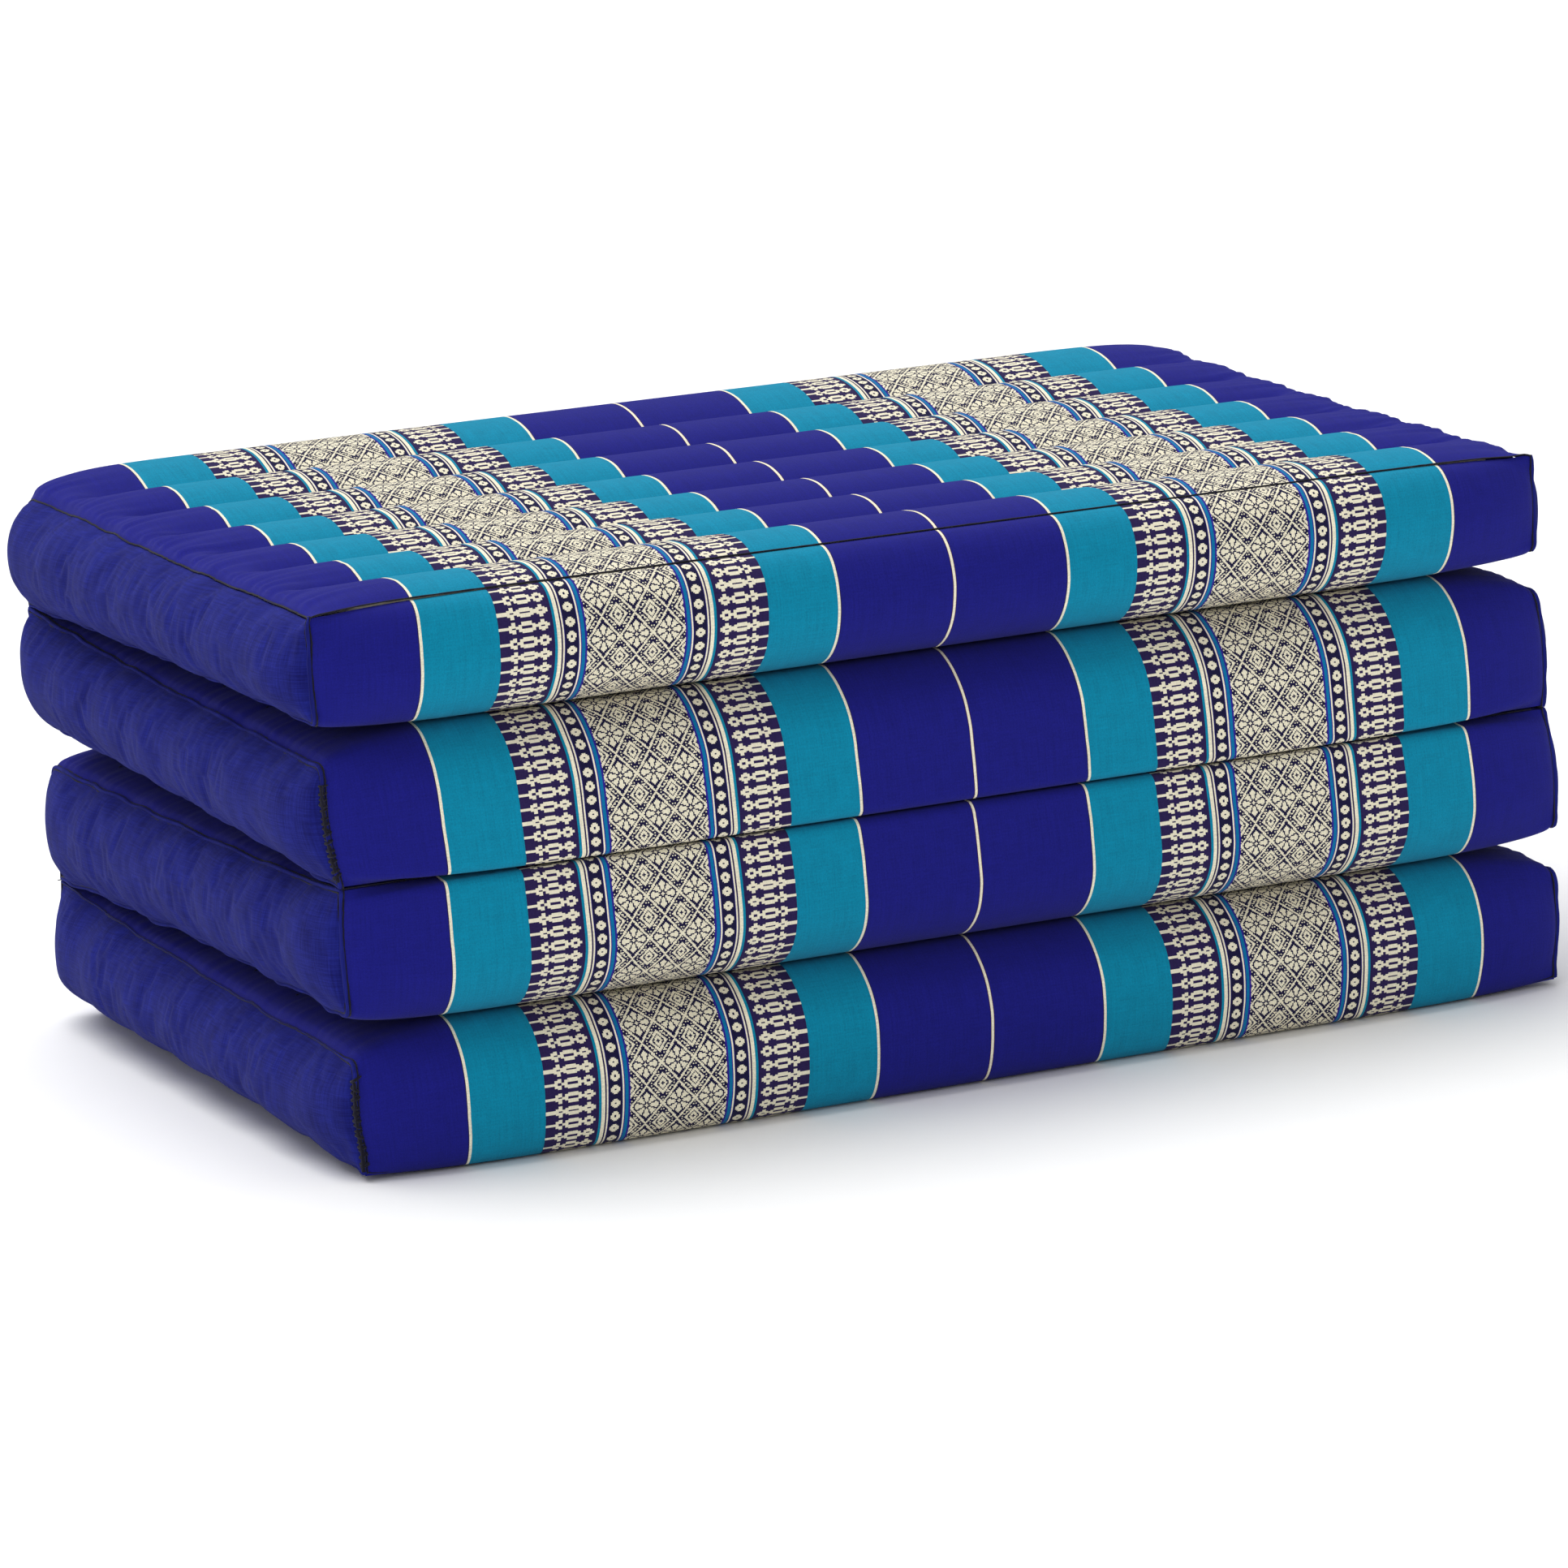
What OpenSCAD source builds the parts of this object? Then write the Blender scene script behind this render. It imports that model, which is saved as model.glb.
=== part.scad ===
// Folding mattress: four stuffed panels stacked in a zigzag and sewn together along three
// fold lines. Every panel is a cloth box of two wrapped sheets and two end gussets, divided
// by baffles into channels, and every channel holds one roll of kapok.
// X runs along the width, the front is -Y and +Z is up. The origin is the middle of the base.
// Panels are counted from the floor: 0 bottom, 1 lower, 2 upper, 3 top.

/* [Mattress] */
// Width over the side seams, along X
mattress_w = 800; // [600:10:1000]
// Distance between the front and back fold lines, which is the length of one panel
panel_d = 500; // [420:10:600]
// Height that one panel takes up in the folded stack
panel_pitch = 88; // [72:1:110]
// Clear space between the faces of neighbouring panels
panel_gap = 0.5; // [0.4:0.1:1]

/* [Channels] */
// Number of stuffed channels in one panel
channel_count = 7; // [5:2:9]
// Depth of the sewn valley between two channels
valley_depth = 7; // [4:1:10]
// Radius of the rounded valley
valley_r = 10; // [8:1:12]
// Clear space round one kapok roll
roll_clearance = 0.2; // [0.1:0.1:0.5]

/* [Cloth] */
// Thickness of the woven cover cloth
cloth_t = 1.2; // [0.8:0.1:2]
// Thickness of the cotton baffle walls
baffle_t = 1; // [0.6:0.1:1.6]
// Radius of the two long edges where a sheet wraps round the panel
wrapped_r = 24; // [12:1:30]
// Radius of the two long edges where the sheets are sewn together
sewn_r = 6; // [5:0.5:10]

/* [Seams] */
// Height that the overlocked side seams stand out from the gussets
side_seam_h = 1; // [0.5:0.1:2]
// Width of the overlocked side seams
side_seam_w = 3; // [2:0.5:4]
// Radius of the seam along the free end of the top and the bottom panel
end_seam_r = 0.9; // [0.6:0.1:1]
// Radius of the stitched cord in a fold line
fold_seam_r = 1.5; // [1:0.1:2]
// Radius of the thread in the channel stitching
thread_r = 0.4; // [0.3:0.1:0.6]

/* [Hidden] */
$fn = 48;
PANELS = ["bottom", "lower", "upper", "top"];
LAST = len(PANELS) - 1;
ROLLS = [for (i = [1 : channel_count]) str("roll_", i)];
COVER_PIECES = ["under_sheet", "sleeping_sheet", "left_gusset", "right_gusset"];
SEWN_PIECES = ["baffles", "edge_seams", "channel_stitching"];
FOLDS = ["lower_back_fold_seam", "front_fold_seam", "upper_back_fold_seam"];
NODES = concat(
    [for (panel = PANELS) for (piece = concat(COVER_PIECES, ROLLS, SEWN_PIECES)) node_name(panel, piece)],
    FOLDS
);
node = "all";

PRINTED_CLOTH = [0.17, 0.16, 0.60];
BORDER_CLOTH = [0.05, 0.56, 0.67];
PLAIN_CLOTH = [0.19, 0.19, 0.58];
KAPOK = [0.93, 0.90, 0.80];
COTTON = [0.88, 0.85, 0.78];
THREAD = [0.08, 0.07, 0.16];

panel_h = panel_pitch - panel_gap;
panel_l = panel_d - panel_gap;
body_w = mattress_w - 2 * side_seam_h;
inside_w = body_w - 2 * cloth_t;
channel_d = panel_d / channel_count;
valleys = [for (i = [1 : channel_count - 1]) -panel_d / 2 + i * channel_d];
seam_inset = 0.3;
web_t = 0.8;
web_l = 6;
// Anything longer than this reaches past the whole section
reach = panel_d + panel_pitch;

function node_name(panel, piece) = str(panel, "_panel_", piece);
function wanted(name) = node == "all" || node == name;

// Places its children in panel k. Every second panel lies the other way up in the zigzag.
module in_panel(k) {
    translate([0, 0, k * panel_pitch + panel_h / 2])
        mirror([0, 0, k % 2 == 0 ? 1 : 0])
            children();
}

// Extrudes a section drawn in the YZ plane along X, centred on the middle of the width
module along_width(w) {
    rotate([90, 0, 90])
        translate([0, 0, -w / 2])
            linear_extrude(height = w)
                children();
}

// What a rounded corner takes off a square one, for the corner on side sy, sz
module corner_waste(sy, sz, r, inset) {
    translate([sy * (panel_l / 2 - inset), sz * (panel_h / 2 - inset)])
        difference() {
            square(2 * (r - inset), center = true);
            translate([-sy * (r - inset), -sz * (r - inset)])
                circle(r = r - inset);
        }
}

// The section of one panel, drawn inwards by inset: crowned channels between rounded valleys
module panel_section(inset) {
    difference() {
        square([panel_l - 2 * inset, panel_h - 2 * inset], center = true);
        corner_waste(-1, 1, sewn_r, inset);
        corner_waste(1, -1, sewn_r, inset);
        corner_waste(1, 1, wrapped_r, inset);
        corner_waste(-1, -1, wrapped_r, inset);
        for (y = valleys)
            for (side = [-1, 1])
                translate([y, side * (panel_h / 2 + valley_r - valley_depth)])
                    circle(r = valley_r + inset);
    }
}

// The half of the section above the line that joins the two sewn edges
module outer_half() {
    polygon([
        [-panel_l / 2, panel_h / 2],
        [-panel_l / 2, reach],
        [reach, reach],
        [reach, -panel_h / 2],
        [panel_l / 2, -panel_h / 2]
    ]);
}

// One sheet: it covers a long face and an end of the panel, and wraps the edge between them
module sheet_section(outer) {
    difference() {
        panel_section(0);
        panel_section(cloth_t);
        if (outer)
            rotate(180) outer_half();
        else
            outer_half();
    }
}

module under_sheet(k) {
    color(PRINTED_CLOTH)
        in_panel(k) along_width(body_w) sheet_section(true);
}

module sleeping_sheet(k) {
    color(BORDER_CLOTH)
        in_panel(k) along_width(body_w) sheet_section(false);
}

module gusset(k, side) {
    color(PLAIN_CLOTH)
        translate([side * (body_w - cloth_t) / 2, 0, 0])
            in_panel(k) along_width(cloth_t) panel_section(cloth_t);
}

// The kapok roll in channel i, counted from the front
module roll(k, i) {
    clear = baffle_t / 2 + roll_clearance;
    front = -panel_d / 2 + (i - 1) * channel_d + clear;
    color(KAPOK)
        in_panel(k) along_width(inside_w - 2 * roll_clearance)
            intersection() {
                panel_section(cloth_t + roll_clearance);
                translate([front, -panel_h / 2])
                    square([channel_d - 2 * clear, panel_h]);
            }
}

module baffles(k) {
    color(COTTON)
        in_panel(k) along_width(inside_w)
            intersection() {
                panel_section(cloth_t);
                for (y = valleys)
                    translate([y - baffle_t / 2, -panel_h / 2])
                        square([baffle_t, panel_h]);
            }
}

// The overlocked seams that join the gussets to the sheets, one closed ring on each side. The
// first and the last panel also have the seam that closes the free end of the mattress.
module edge_seams(k) {
    end_seam_place = sewn_r - (sewn_r + end_seam_r) / sqrt(2);
    color(THREAD) {
        for (side = [-1, 1])
            translate([side * (body_w + side_seam_h) / 2, 0, 0])
                in_panel(k) along_width(side_seam_h)
                    difference() {
                        panel_section(seam_inset);
                        panel_section(seam_inset + side_seam_w);
                    }
        if (k == 0 || k == LAST)
            in_panel(k) along_width(body_w)
                translate([end_seam_place - panel_l / 2, panel_h / 2 - end_seam_place])
                    circle(r = end_seam_r);
    }
}

// The lines of thread that hold the sheets down to the baffles, one along every valley
module channel_stitching(k) {
    color(THREAD)
        in_panel(k) along_width(body_w)
            for (y = valleys)
                for (side = [-1, 1])
                    translate([y, side * (panel_h / 2 - valley_depth + thread_r)])
                        circle(r = thread_r);
}

// The sewn fold line above panel k: a cord on the hinge axis, held to panel k by a web
module fold_seam(k) {
    side = k % 2 == 0 ? 1 : -1;
    color(THREAD)
        difference() {
            translate([0, side * panel_d / 2, (k + 1) * panel_pitch - panel_gap / 2])
                along_width(body_w)
                    union() {
                        circle(r = fold_seam_r);
                        rotate(side * 45)
                            translate([-side * web_l / 2, 0])
                                square([web_l, web_t], center = true);
                    }
            in_panel(k) along_width(mattress_w) panel_section(0);
        }
}

for (k = [0 : LAST]) {
    if (wanted(node_name(PANELS[k], "under_sheet"))) under_sheet(k);
    if (wanted(node_name(PANELS[k], "sleeping_sheet"))) sleeping_sheet(k);
    if (wanted(node_name(PANELS[k], "left_gusset"))) gusset(k, -1);
    if (wanted(node_name(PANELS[k], "right_gusset"))) gusset(k, 1);
    for (i = [1 : channel_count])
        if (wanted(node_name(PANELS[k], ROLLS[i - 1]))) roll(k, i);
    if (wanted(node_name(PANELS[k], "baffles"))) baffles(k);
    if (wanted(node_name(PANELS[k], "edge_seams"))) edge_seams(k);
    if (wanted(node_name(PANELS[k], "channel_stitching"))) channel_stitching(k);
    if (k < LAST && wanted(FOLDS[k])) fold_seam(k);
}
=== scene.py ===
"""The looks of a folding mattress: four stuffed panels of striped brocade in a zigzag stack.

Shapes are worked out in millimetres in a panel's own frame, where the panel lies with its
sewn edge at the top of the front, and are placed into the stack in metres at the end.
"""

import logging
import math
from dataclasses import dataclass, field
from enum import Enum
from typing import Callable, Union

import bmesh
import bpy
import numpy as np
from mathutils import Matrix, Vector


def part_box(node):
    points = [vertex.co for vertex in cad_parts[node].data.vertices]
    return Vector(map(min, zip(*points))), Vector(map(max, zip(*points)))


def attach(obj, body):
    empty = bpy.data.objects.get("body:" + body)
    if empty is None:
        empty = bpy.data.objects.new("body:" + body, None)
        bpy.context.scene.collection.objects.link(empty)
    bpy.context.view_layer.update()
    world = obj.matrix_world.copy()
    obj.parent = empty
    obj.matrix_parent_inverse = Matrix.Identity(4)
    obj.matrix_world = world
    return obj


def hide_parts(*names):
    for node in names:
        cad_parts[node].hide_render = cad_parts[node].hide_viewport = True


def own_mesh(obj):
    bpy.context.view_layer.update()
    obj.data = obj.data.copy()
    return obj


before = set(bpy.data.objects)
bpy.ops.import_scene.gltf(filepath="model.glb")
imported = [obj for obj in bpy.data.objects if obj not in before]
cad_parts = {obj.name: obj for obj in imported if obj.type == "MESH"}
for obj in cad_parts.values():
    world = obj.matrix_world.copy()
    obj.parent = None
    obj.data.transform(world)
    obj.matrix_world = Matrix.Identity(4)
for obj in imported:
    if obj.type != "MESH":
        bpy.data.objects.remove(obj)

LOG = logging.getLogger("mattress")
PLACE = "cloth_place"
METRES = 0.001
TINY = 1e-9
HALF_FOLD_GAP = 0.00025
CROWN_POWER = 2.4
HAND_NAMES = {-1: "left", 1: "right"}
EDGE_COLUMNS = {-1: 0, 1: -1}
RIGHTWARD = np.array([1.0, 0.0, 0.0])
BACKWARD = np.array([0.0, 1.0, 0.0])
UPWARD = np.array([0.0, 0.0, 1.0])
Colour = tuple[float, float, float]
Grid = np.ndarray
Faces = Union[np.ndarray, list[list[int]]]


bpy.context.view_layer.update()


def srgb(red: int, green: int, blue: int) -> Colour:
    """Turns a display colour into a linear one.

    Args:
        red: Red from 0 to 255.
        green: Green from 0 to 255.
        blue: Blue from 0 to 255.

    Returns:
        The linear colour.
    """
    def linear(value: int) -> float:
        """Turns one channel linear."""
        share = value / 255
        return share / 12.92 if share <= 0.04045 else ((share + 0.055) / 1.055) ** 2.4

    return linear(red), linear(green), linear(blue)


# ---------------------------------------------------------------- shader expressions


def operator(operation: str, swapped: bool = False) -> Callable[..., "Socket"]:
    """Makes a method that adds one Math node to the graph of its value.

    Args:
        operation: The node's operation.
        swapped: Whether the value comes after the others.

    Returns:
        The method.
    """
    def method(self: "Socket", *others: "Value") -> "Socket":
        """Adds the node and gives its output."""
        values = (*others, self) if swapped else (self, *others)
        return self.graph.math(operation, *values)

    return method


class Socket:
    """One value in a material, with Python's operators for the Math nodes."""

    def __init__(self, graph: "Graph", link: bpy.types.NodeSocket) -> None:
        """Keeps the graph and the output socket."""
        self.graph = graph
        self.link = link

    __add__ = __radd__ = operator("ADD")
    __mul__ = __rmul__ = operator("MULTIPLY")
    __sub__ = operator("SUBTRACT")
    __rsub__ = operator("SUBTRACT", swapped=True)
    __truediv__ = operator("DIVIDE")
    __mod__ = operator("FLOORED_MODULO")
    __abs__ = operator("ABSOLUTE")
    __gt__ = operator("GREATER_THAN")
    __lt__ = operator("LESS_THAN")
    larger = operator("MAXIMUM")
    smaller = operator("MINIMUM")
    floor = operator("FLOOR")
    root = operator("SQRT")
    sine = operator("SINE")
    angle = operator("ARCTAN2")


Value = Union[Socket, float, int]


class Graph:
    """The node graph of one material."""

    def __init__(self, name: str) -> None:
        """Makes an empty material."""
        self.material = bpy.data.materials.new(name)
        self.material.use_nodes = True
        self.tree = self.material.node_tree
        self.tree.nodes.clear()

    def node(self, kind: str, settings: dict | None = None, sockets: dict | None = None) -> bpy.types.Node:
        """Adds a node.

        Args:
            kind: The node's type.
            settings: Its properties, and for a ramp its stops as (place, colour) pairs.
            sockets: Values or links, by the input's name or number.

        Returns:
            The new node.
        """
        made = self.tree.nodes.new(kind)
        for name, value in (settings or {}).items():
            if name == "stops":
                self._set_stops(made.color_ramp, value)
            else:
                setattr(made, name, value)
        for key, value in (sockets or {}).items():
            if isinstance(value, Socket):
                self.tree.links.new(value.link, made.inputs[key])
            else:
                made.inputs[key].default_value = value
        return made

    @staticmethod
    def _set_stops(ramp: bpy.types.ColorRamp, stops: list[tuple[float, Colour]]) -> None:
        """Fills a ramp whose colour changes in steps."""
        ramp.interpolation = "CONSTANT"
        while len(ramp.elements) < len(stops):
            ramp.elements.new(1.0)
        for element, (place, colour) in zip(ramp.elements, stops):
            element.position = place
            element.color = (*colour, 1.0)

    def value(
        self, kind: str, settings: dict | None = None, sockets: dict | None = None, out: int | str = 0
    ) -> Socket:
        """Adds a node and gives one of its outputs.

        Args:
            kind: The node's type.
            settings: Its properties.
            sockets: Values or links of its inputs.
            out: The output's name or number.

        Returns:
            The output.
        """
        return Socket(self, self.node(kind, settings, sockets).outputs[out])

    def math(self, operation: str, *values: Value) -> Socket:
        """Adds a Math node that works on the given values."""
        return self.value("ShaderNodeMath", {"operation": operation}, dict(enumerate(values)))

    def mix(self, mask: Value, below: Socket | Colour, above: Socket | Colour) -> Socket:
        """Lays one colour over another.

        Args:
            mask: 1 where the upper colour shows.
            below: The lower colour.
            above: The upper colour.

        Returns:
            The mixed colour.
        """
        sides = [c if isinstance(c, Socket) else (*c, 1.0) for c in (below, above)]
        sockets = {0: mask, 6: sides[0], 7: sides[1]}
        return self.value("ShaderNodeMix", {"data_type": "RGBA"}, sockets, 2)

    def tint(self, colour: Socket | Colour, amount: Value) -> Socket:
        """Makes a colour lighter or darker by a factor that varies.

        Args:
            colour: The colour.
            amount: The factor, about 1.

        Returns:
            The changed colour.
        """
        grey = self.value("ShaderNodeCombineColor", None, {0: amount, 1: amount, 2: amount})
        side = colour if isinstance(colour, Socket) else (*colour, 1.0)
        settings = {"data_type": "RGBA", "blend_type": "MULTIPLY"}
        return self.value("ShaderNodeMix", settings, {0: 1.0, 6: side, 7: grey}, 2)

    def steps(self, position: Socket, stops: list[tuple[float, Colour]]) -> Socket:
        """Gives a colour that changes in wide steps along a position from 0 to 1."""
        return self.value("ShaderNodeValToRGB", {"stops": stops}, {"Fac": position})

    def layers(self, position: Socket, edges: list[tuple[float, Colour]]) -> Socket:
        """Gives a colour that changes at exact places, however close together they are.

        Args:
            position: The position, from the first place up.
            edges: Each place with the colour that starts there.

        Returns:
            The colour.
        """
        colour = edges[0][1]
        for at, tone in edges[1:]:
            colour = self.mix(position > at, colour, tone)
        return colour

    def place(self) -> tuple[Socket, Socket, Socket]:
        """Gives where a point lies on the flat cloth, in millimetres: across, along and out of it."""
        vector = self.value("ShaderNodeAttribute", {"attribute_name": PLACE}, None, "Vector")
        parts = self.node("ShaderNodeSeparateXYZ", None, {0: vector})
        return tuple(Socket(self, out) for out in parts.outputs)

    def noise(self, across: Value, along: Value, detail: float = 2.0, seed: float = 0.0) -> Socket:
        """Gives smooth noise from 0 to 1.

        Args:
            across: The first coordinate, in grains.
            along: The second coordinate, in grains.
            detail: How much finer grain it holds.
            seed: A third coordinate, which gives another pattern.

        Returns:
            The noise value.
        """
        vector = self.value("ShaderNodeCombineXYZ", None, {0: across, 1: along, 2: seed})
        return self.value("ShaderNodeTexNoise", None, {"Vector": vector, "Scale": 1.0, "Detail": detail})

    def channels(self, colour: Socket) -> list[Socket]:
        """Splits a colour into its three channels."""
        parts = self.node("ShaderNodeSeparateColor", None, {0: colour})
        return [Socket(self, out) for out in parts.outputs]

    def finish(
        self, colour: Socket, roughness: Value, height: Socket, relief: float, sheen: float
    ) -> bpy.types.Material:
        """Ends the graph with the shader.

        Args:
            colour: The base colour.
            roughness: The roughness.
            height: The height of the surface, in millimetres.
            relief: How strongly the height shows.
            sheen: How much the loose fibre ends catch the light.

        Returns:
            The finished material.
        """
        sockets = {"Strength": relief, "Distance": METRES, "Height": height}
        bump = self.value("ShaderNodeBump", None, sockets)
        shader = self.value("ShaderNodeBsdfPrincipled", None, {
            "Base Color": colour,
            "Roughness": roughness,
            "Normal": bump,
            "Sheen Weight": sheen,
            "Sheen Roughness": 0.6,
            "Specular IOR Level": 0.12,
        })
        self.node("ShaderNodeOutputMaterial", None, {"Surface": shader})
        return self.material


# ---------------------------------------------------------------- finishes


@dataclass(frozen=True)
class StripedCloth:
    """The printed and brocaded cover cloth, the same on both sides of its centre line."""

    slot: str = "striped_cover_cloth"
    half_width: float = 400.0
    thread: float = 0.8
    band_start: float = 121.5
    band_end: float = 291.5
    fringe_width: float = 33.5
    motif_pitch: float = 8.53
    repeat_across: int = 26
    repeat_along: int = 32
    blue: Colour = srgb(22, 23, 122)
    turquoise: Colour = srgb(0, 131, 164)
    cream: Colour = srgb(240, 233, 208)
    plum: Colour = srgb(40, 28, 76)
    ink: Colour = srgb(22, 18, 58)
    bright_blue: Colour = srgb(0, 112, 162)
    violet: Colour = srgb(44, 30, 140)
    wine: Colour = srgb(58, 20, 66)

    @property
    def band_half(self) -> float:
        """Gives half the width of the brocade band."""
        return (self.band_end - self.band_start) / 2

    def ground(self, graph: Graph, across: Socket) -> Socket:
        """Gives the stripes that run along the whole cloth.

        Args:
            graph: The material.
            across: Distance from the centre line.

        Returns:
            The stripe colour.
        """
        edges = [
            (0.0, self.cream),
            (0.85, self.wine),
            (1.35, self.blue),
            (74.3, self.plum),
            (74.9, self.cream),
            (76.6, self.turquoise),
            (self.band_start, self.plum),
            (self.band_end, self.turquoise),
            (337.5, self.cream),
            (339.2, self.plum),
            (339.8, self.blue),
        ]
        return graph.layers(across, edges)

    def band(self, graph: Graph, inward: Socket) -> Socket:
        """Gives the fine lines of the brocade band.

        Args:
            graph: The material.
            inward: Distance from the nearer edge of the band.

        Returns:
            The colour under the motifs.
        """
        start = self.fringe_width
        edges = [
            (0.0, self.plum),
            (start, self.turquoise),
            (start + 1.6, self.cream),
            (start + 3.7, self.plum),
            (start + 4.7, self.cream),
            (start + 5.7, self.violet),
            (start + 6.3, self.ink),
            (start + 14.7, self.violet),
            (start + 15.3, self.cream),
            (start + 16.2, self.violet),
            (start + 16.7, self.bright_blue),
            (start + 18.8, self.violet),
            (start + 20.2, self.ink),
        ]
        return graph.steps(inward / self.band_half, [(at / self.band_half, tone) for at, tone in edges])

    def fringe(self, graph: Graph, inward: Socket, along: Socket) -> Socket:
        """Gives the beaded bars at the edges of the band.

        Args:
            graph: The material.
            inward: Distance from the nearer edge of the band.
            along: Distance along the cloth.

        Returns:
            1 on the cream threads.
        """
        bars = [
            (6.2, 0.9, 0.0), (1.8, 2.1, 0.0), (2.4, 3.3, 0.6), (1.8, 0.9, 0.0), (2.0, 2.1, 0.0),
            (6.4, 3.1, 0.7), (2.0, 2.1, 0.0), (1.8, 0.9, 0.0), (1.6, 2.2, 0.0), (2.3, 3.3, 0.6),
            (1.6, 2.2, 0.0), (1.5, 0.9, 0.0),
        ]
        tallest = 4.0
        stops = []
        start = 0.0
        for length, tall, slit in bars:
            stops.append((start / self.fringe_width, (tall / tallest, slit / tallest, 0.0)))
            start += length
        stops.append((start / self.fringe_width, (0.0, 0.0, 0.0)))
        colour = graph.steps(inward / self.fringe_width, stops)
        tall, slit = (channel * tallest for channel in graph.channels(colour)[:2])
        offset = abs(along % self.motif_pitch - self.motif_pitch / 2)
        return (offset < tall) * (1 - (offset < slit)) * (inward < self.fringe_width)

    def quatrefoils(self, inward: Socket, along: Socket) -> Socket:
        """Gives the row of small four-lobed figures between the lines.

        Args:
            inward: Distance from the nearer edge of the band.
            along: Distance along the cloth.

        Returns:
            1 on the cream threads.
        """
        row, waist, lobe, block, eye = 10.7, 1.2, 3.0, 2.1, 0.6
        side = abs(inward - (self.fringe_width + row))
        length = abs(along % self.motif_pitch - self.motif_pitch / 2)
        upright = (side < waist) * (length < lobe)
        level = (side < lobe) * (length < waist)
        middle = (side < block) * (length < block)
        return upright.larger(level).larger(middle) * (1 - (side < eye) * (length < eye))

    def field(self, graph: Graph, across: Socket, along: Socket) -> Socket:
        """Gives the lattice of flowers and nested diamonds in the middle of the band.

        Args:
            graph: The material.
            across: Distance from the middle of the band.
            along: Distance along the cloth.

        Returns:
            1 on the cream threads.
        """
        half_a = self.repeat_across / 2
        half_b = self.repeat_along / 2
        pick = (across / self.thread + 0.5).floor()
        shot = (along / self.thread + 0.5).floor()
        a = abs((pick + half_a) % self.repeat_across - half_a)
        b = abs((shot + half_b) % self.repeat_along - half_b)
        nest = (half_a - a) * (half_b / half_a) + (half_b - b)
        odd = ((pick + shot) % 2) > 0.5
        ladder = (shot % 2) > 0.5
        radius = (a * a + b * b * 0.85).root()
        turn = b.angle(a + 0.001) / (math.pi / 4)
        petal = abs((turn + 0.5) % 1 - 0.5)
        gap = (0.5 - petal) * radius * (math.pi / 4)
        vein, heart_ring, heart, flower_reach = 0.5, 2.1, 1.2, 9.7
        flower = (gap > vein) * (radius < flower_reach - petal * 4.6) * (radius > heart_ring)
        flower = flower.larger(radius < heart)
        dark, whole, dots, bars = (0.0, 0.0, 0.0), (1.0, 0.0, 0.0), (0.0, 1.0, 0.0), (0.0, 0.0, 1.0)
        rings = [
            (0.0, dark), (1.6, whole), (4.4, dark), (6.0, whole), (8.8, dark),
            (10.4, dots), (11.6, bars), (13.2, dark), (14.9, whole), (17.6, dark),
        ]
        reach = 2 * half_b
        stepped = graph.steps(nest / reach, [(at / reach, kind) for at, kind in rings])
        full, dotted, barred = graph.channels(stepped)
        lattice = full + dotted * odd + barred * ladder
        flower_ground = 18.9
        return lattice.larger(flower * (nest > flower_ground))

    def build(self) -> bpy.types.Material:
        """Makes the material.

        Returns:
            The finished material.
        """
        graph = Graph(self.slot)
        signed, along, _ = graph.place()
        wander = graph.noise(signed / 30, along / 24, 2.0, 4.0) - 0.5
        across = abs(signed + wander * 0.9)
        middle = (self.band_start + self.band_end) / 2
        from_middle = across - middle
        inward = self.band_half - abs(from_middle)
        in_band = inward > 0
        woven = along + (graph.noise(signed / 60, along / 60, 1.0, 9.0) - 0.5) * 1.2
        stepped = ((woven / self.thread).floor() + 0.5) * self.thread
        field_start = self.fringe_width + 20.2
        motif = self.fringe(graph, inward, stepped).larger(self.quatrefoils(inward, stepped))
        motif = motif.larger(self.field(graph, from_middle, woven) * (inward > field_start))
        motif = motif * in_band
        slub = graph.noise(signed / 1.1, along / 38, 2.0, 1.0)
        cross = graph.noise(signed / 16, along / 0.9, 1.0, 2.0)
        mottle = graph.noise(signed / 9, along / 9, 3.0, 3.0)
        speckle = graph.noise(signed / 0.9, along / 1.3, 1.0, 5.0)
        shade = 0.34 + slub * 0.38 + cross * 0.24 + mottle * 0.22 + speckle * 0.5
        colour = graph.mix(in_band, self.ground(graph, across), self.band(graph, inward))
        colour = graph.tint(colour, shade)
        thread_shade = 0.80 + graph.noise(signed / 0.8, along / 2.4, 1.0, 6.0) * 0.34
        colour = graph.mix(motif, colour, graph.tint(self.cream, thread_shade))
        weft = (along * (2 * math.pi / 0.5)).sine()
        warp = (signed * (2 * math.pi / 0.5)).sine()
        height = weft * warp * 0.05 + motif * 0.18 + slub * 0.12 + mottle * 0.18 + speckle * 0.1
        roughness = 0.93 - motif * 0.16
        return graph.finish(colour, roughness, height, 0.55, 0.04)


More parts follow.
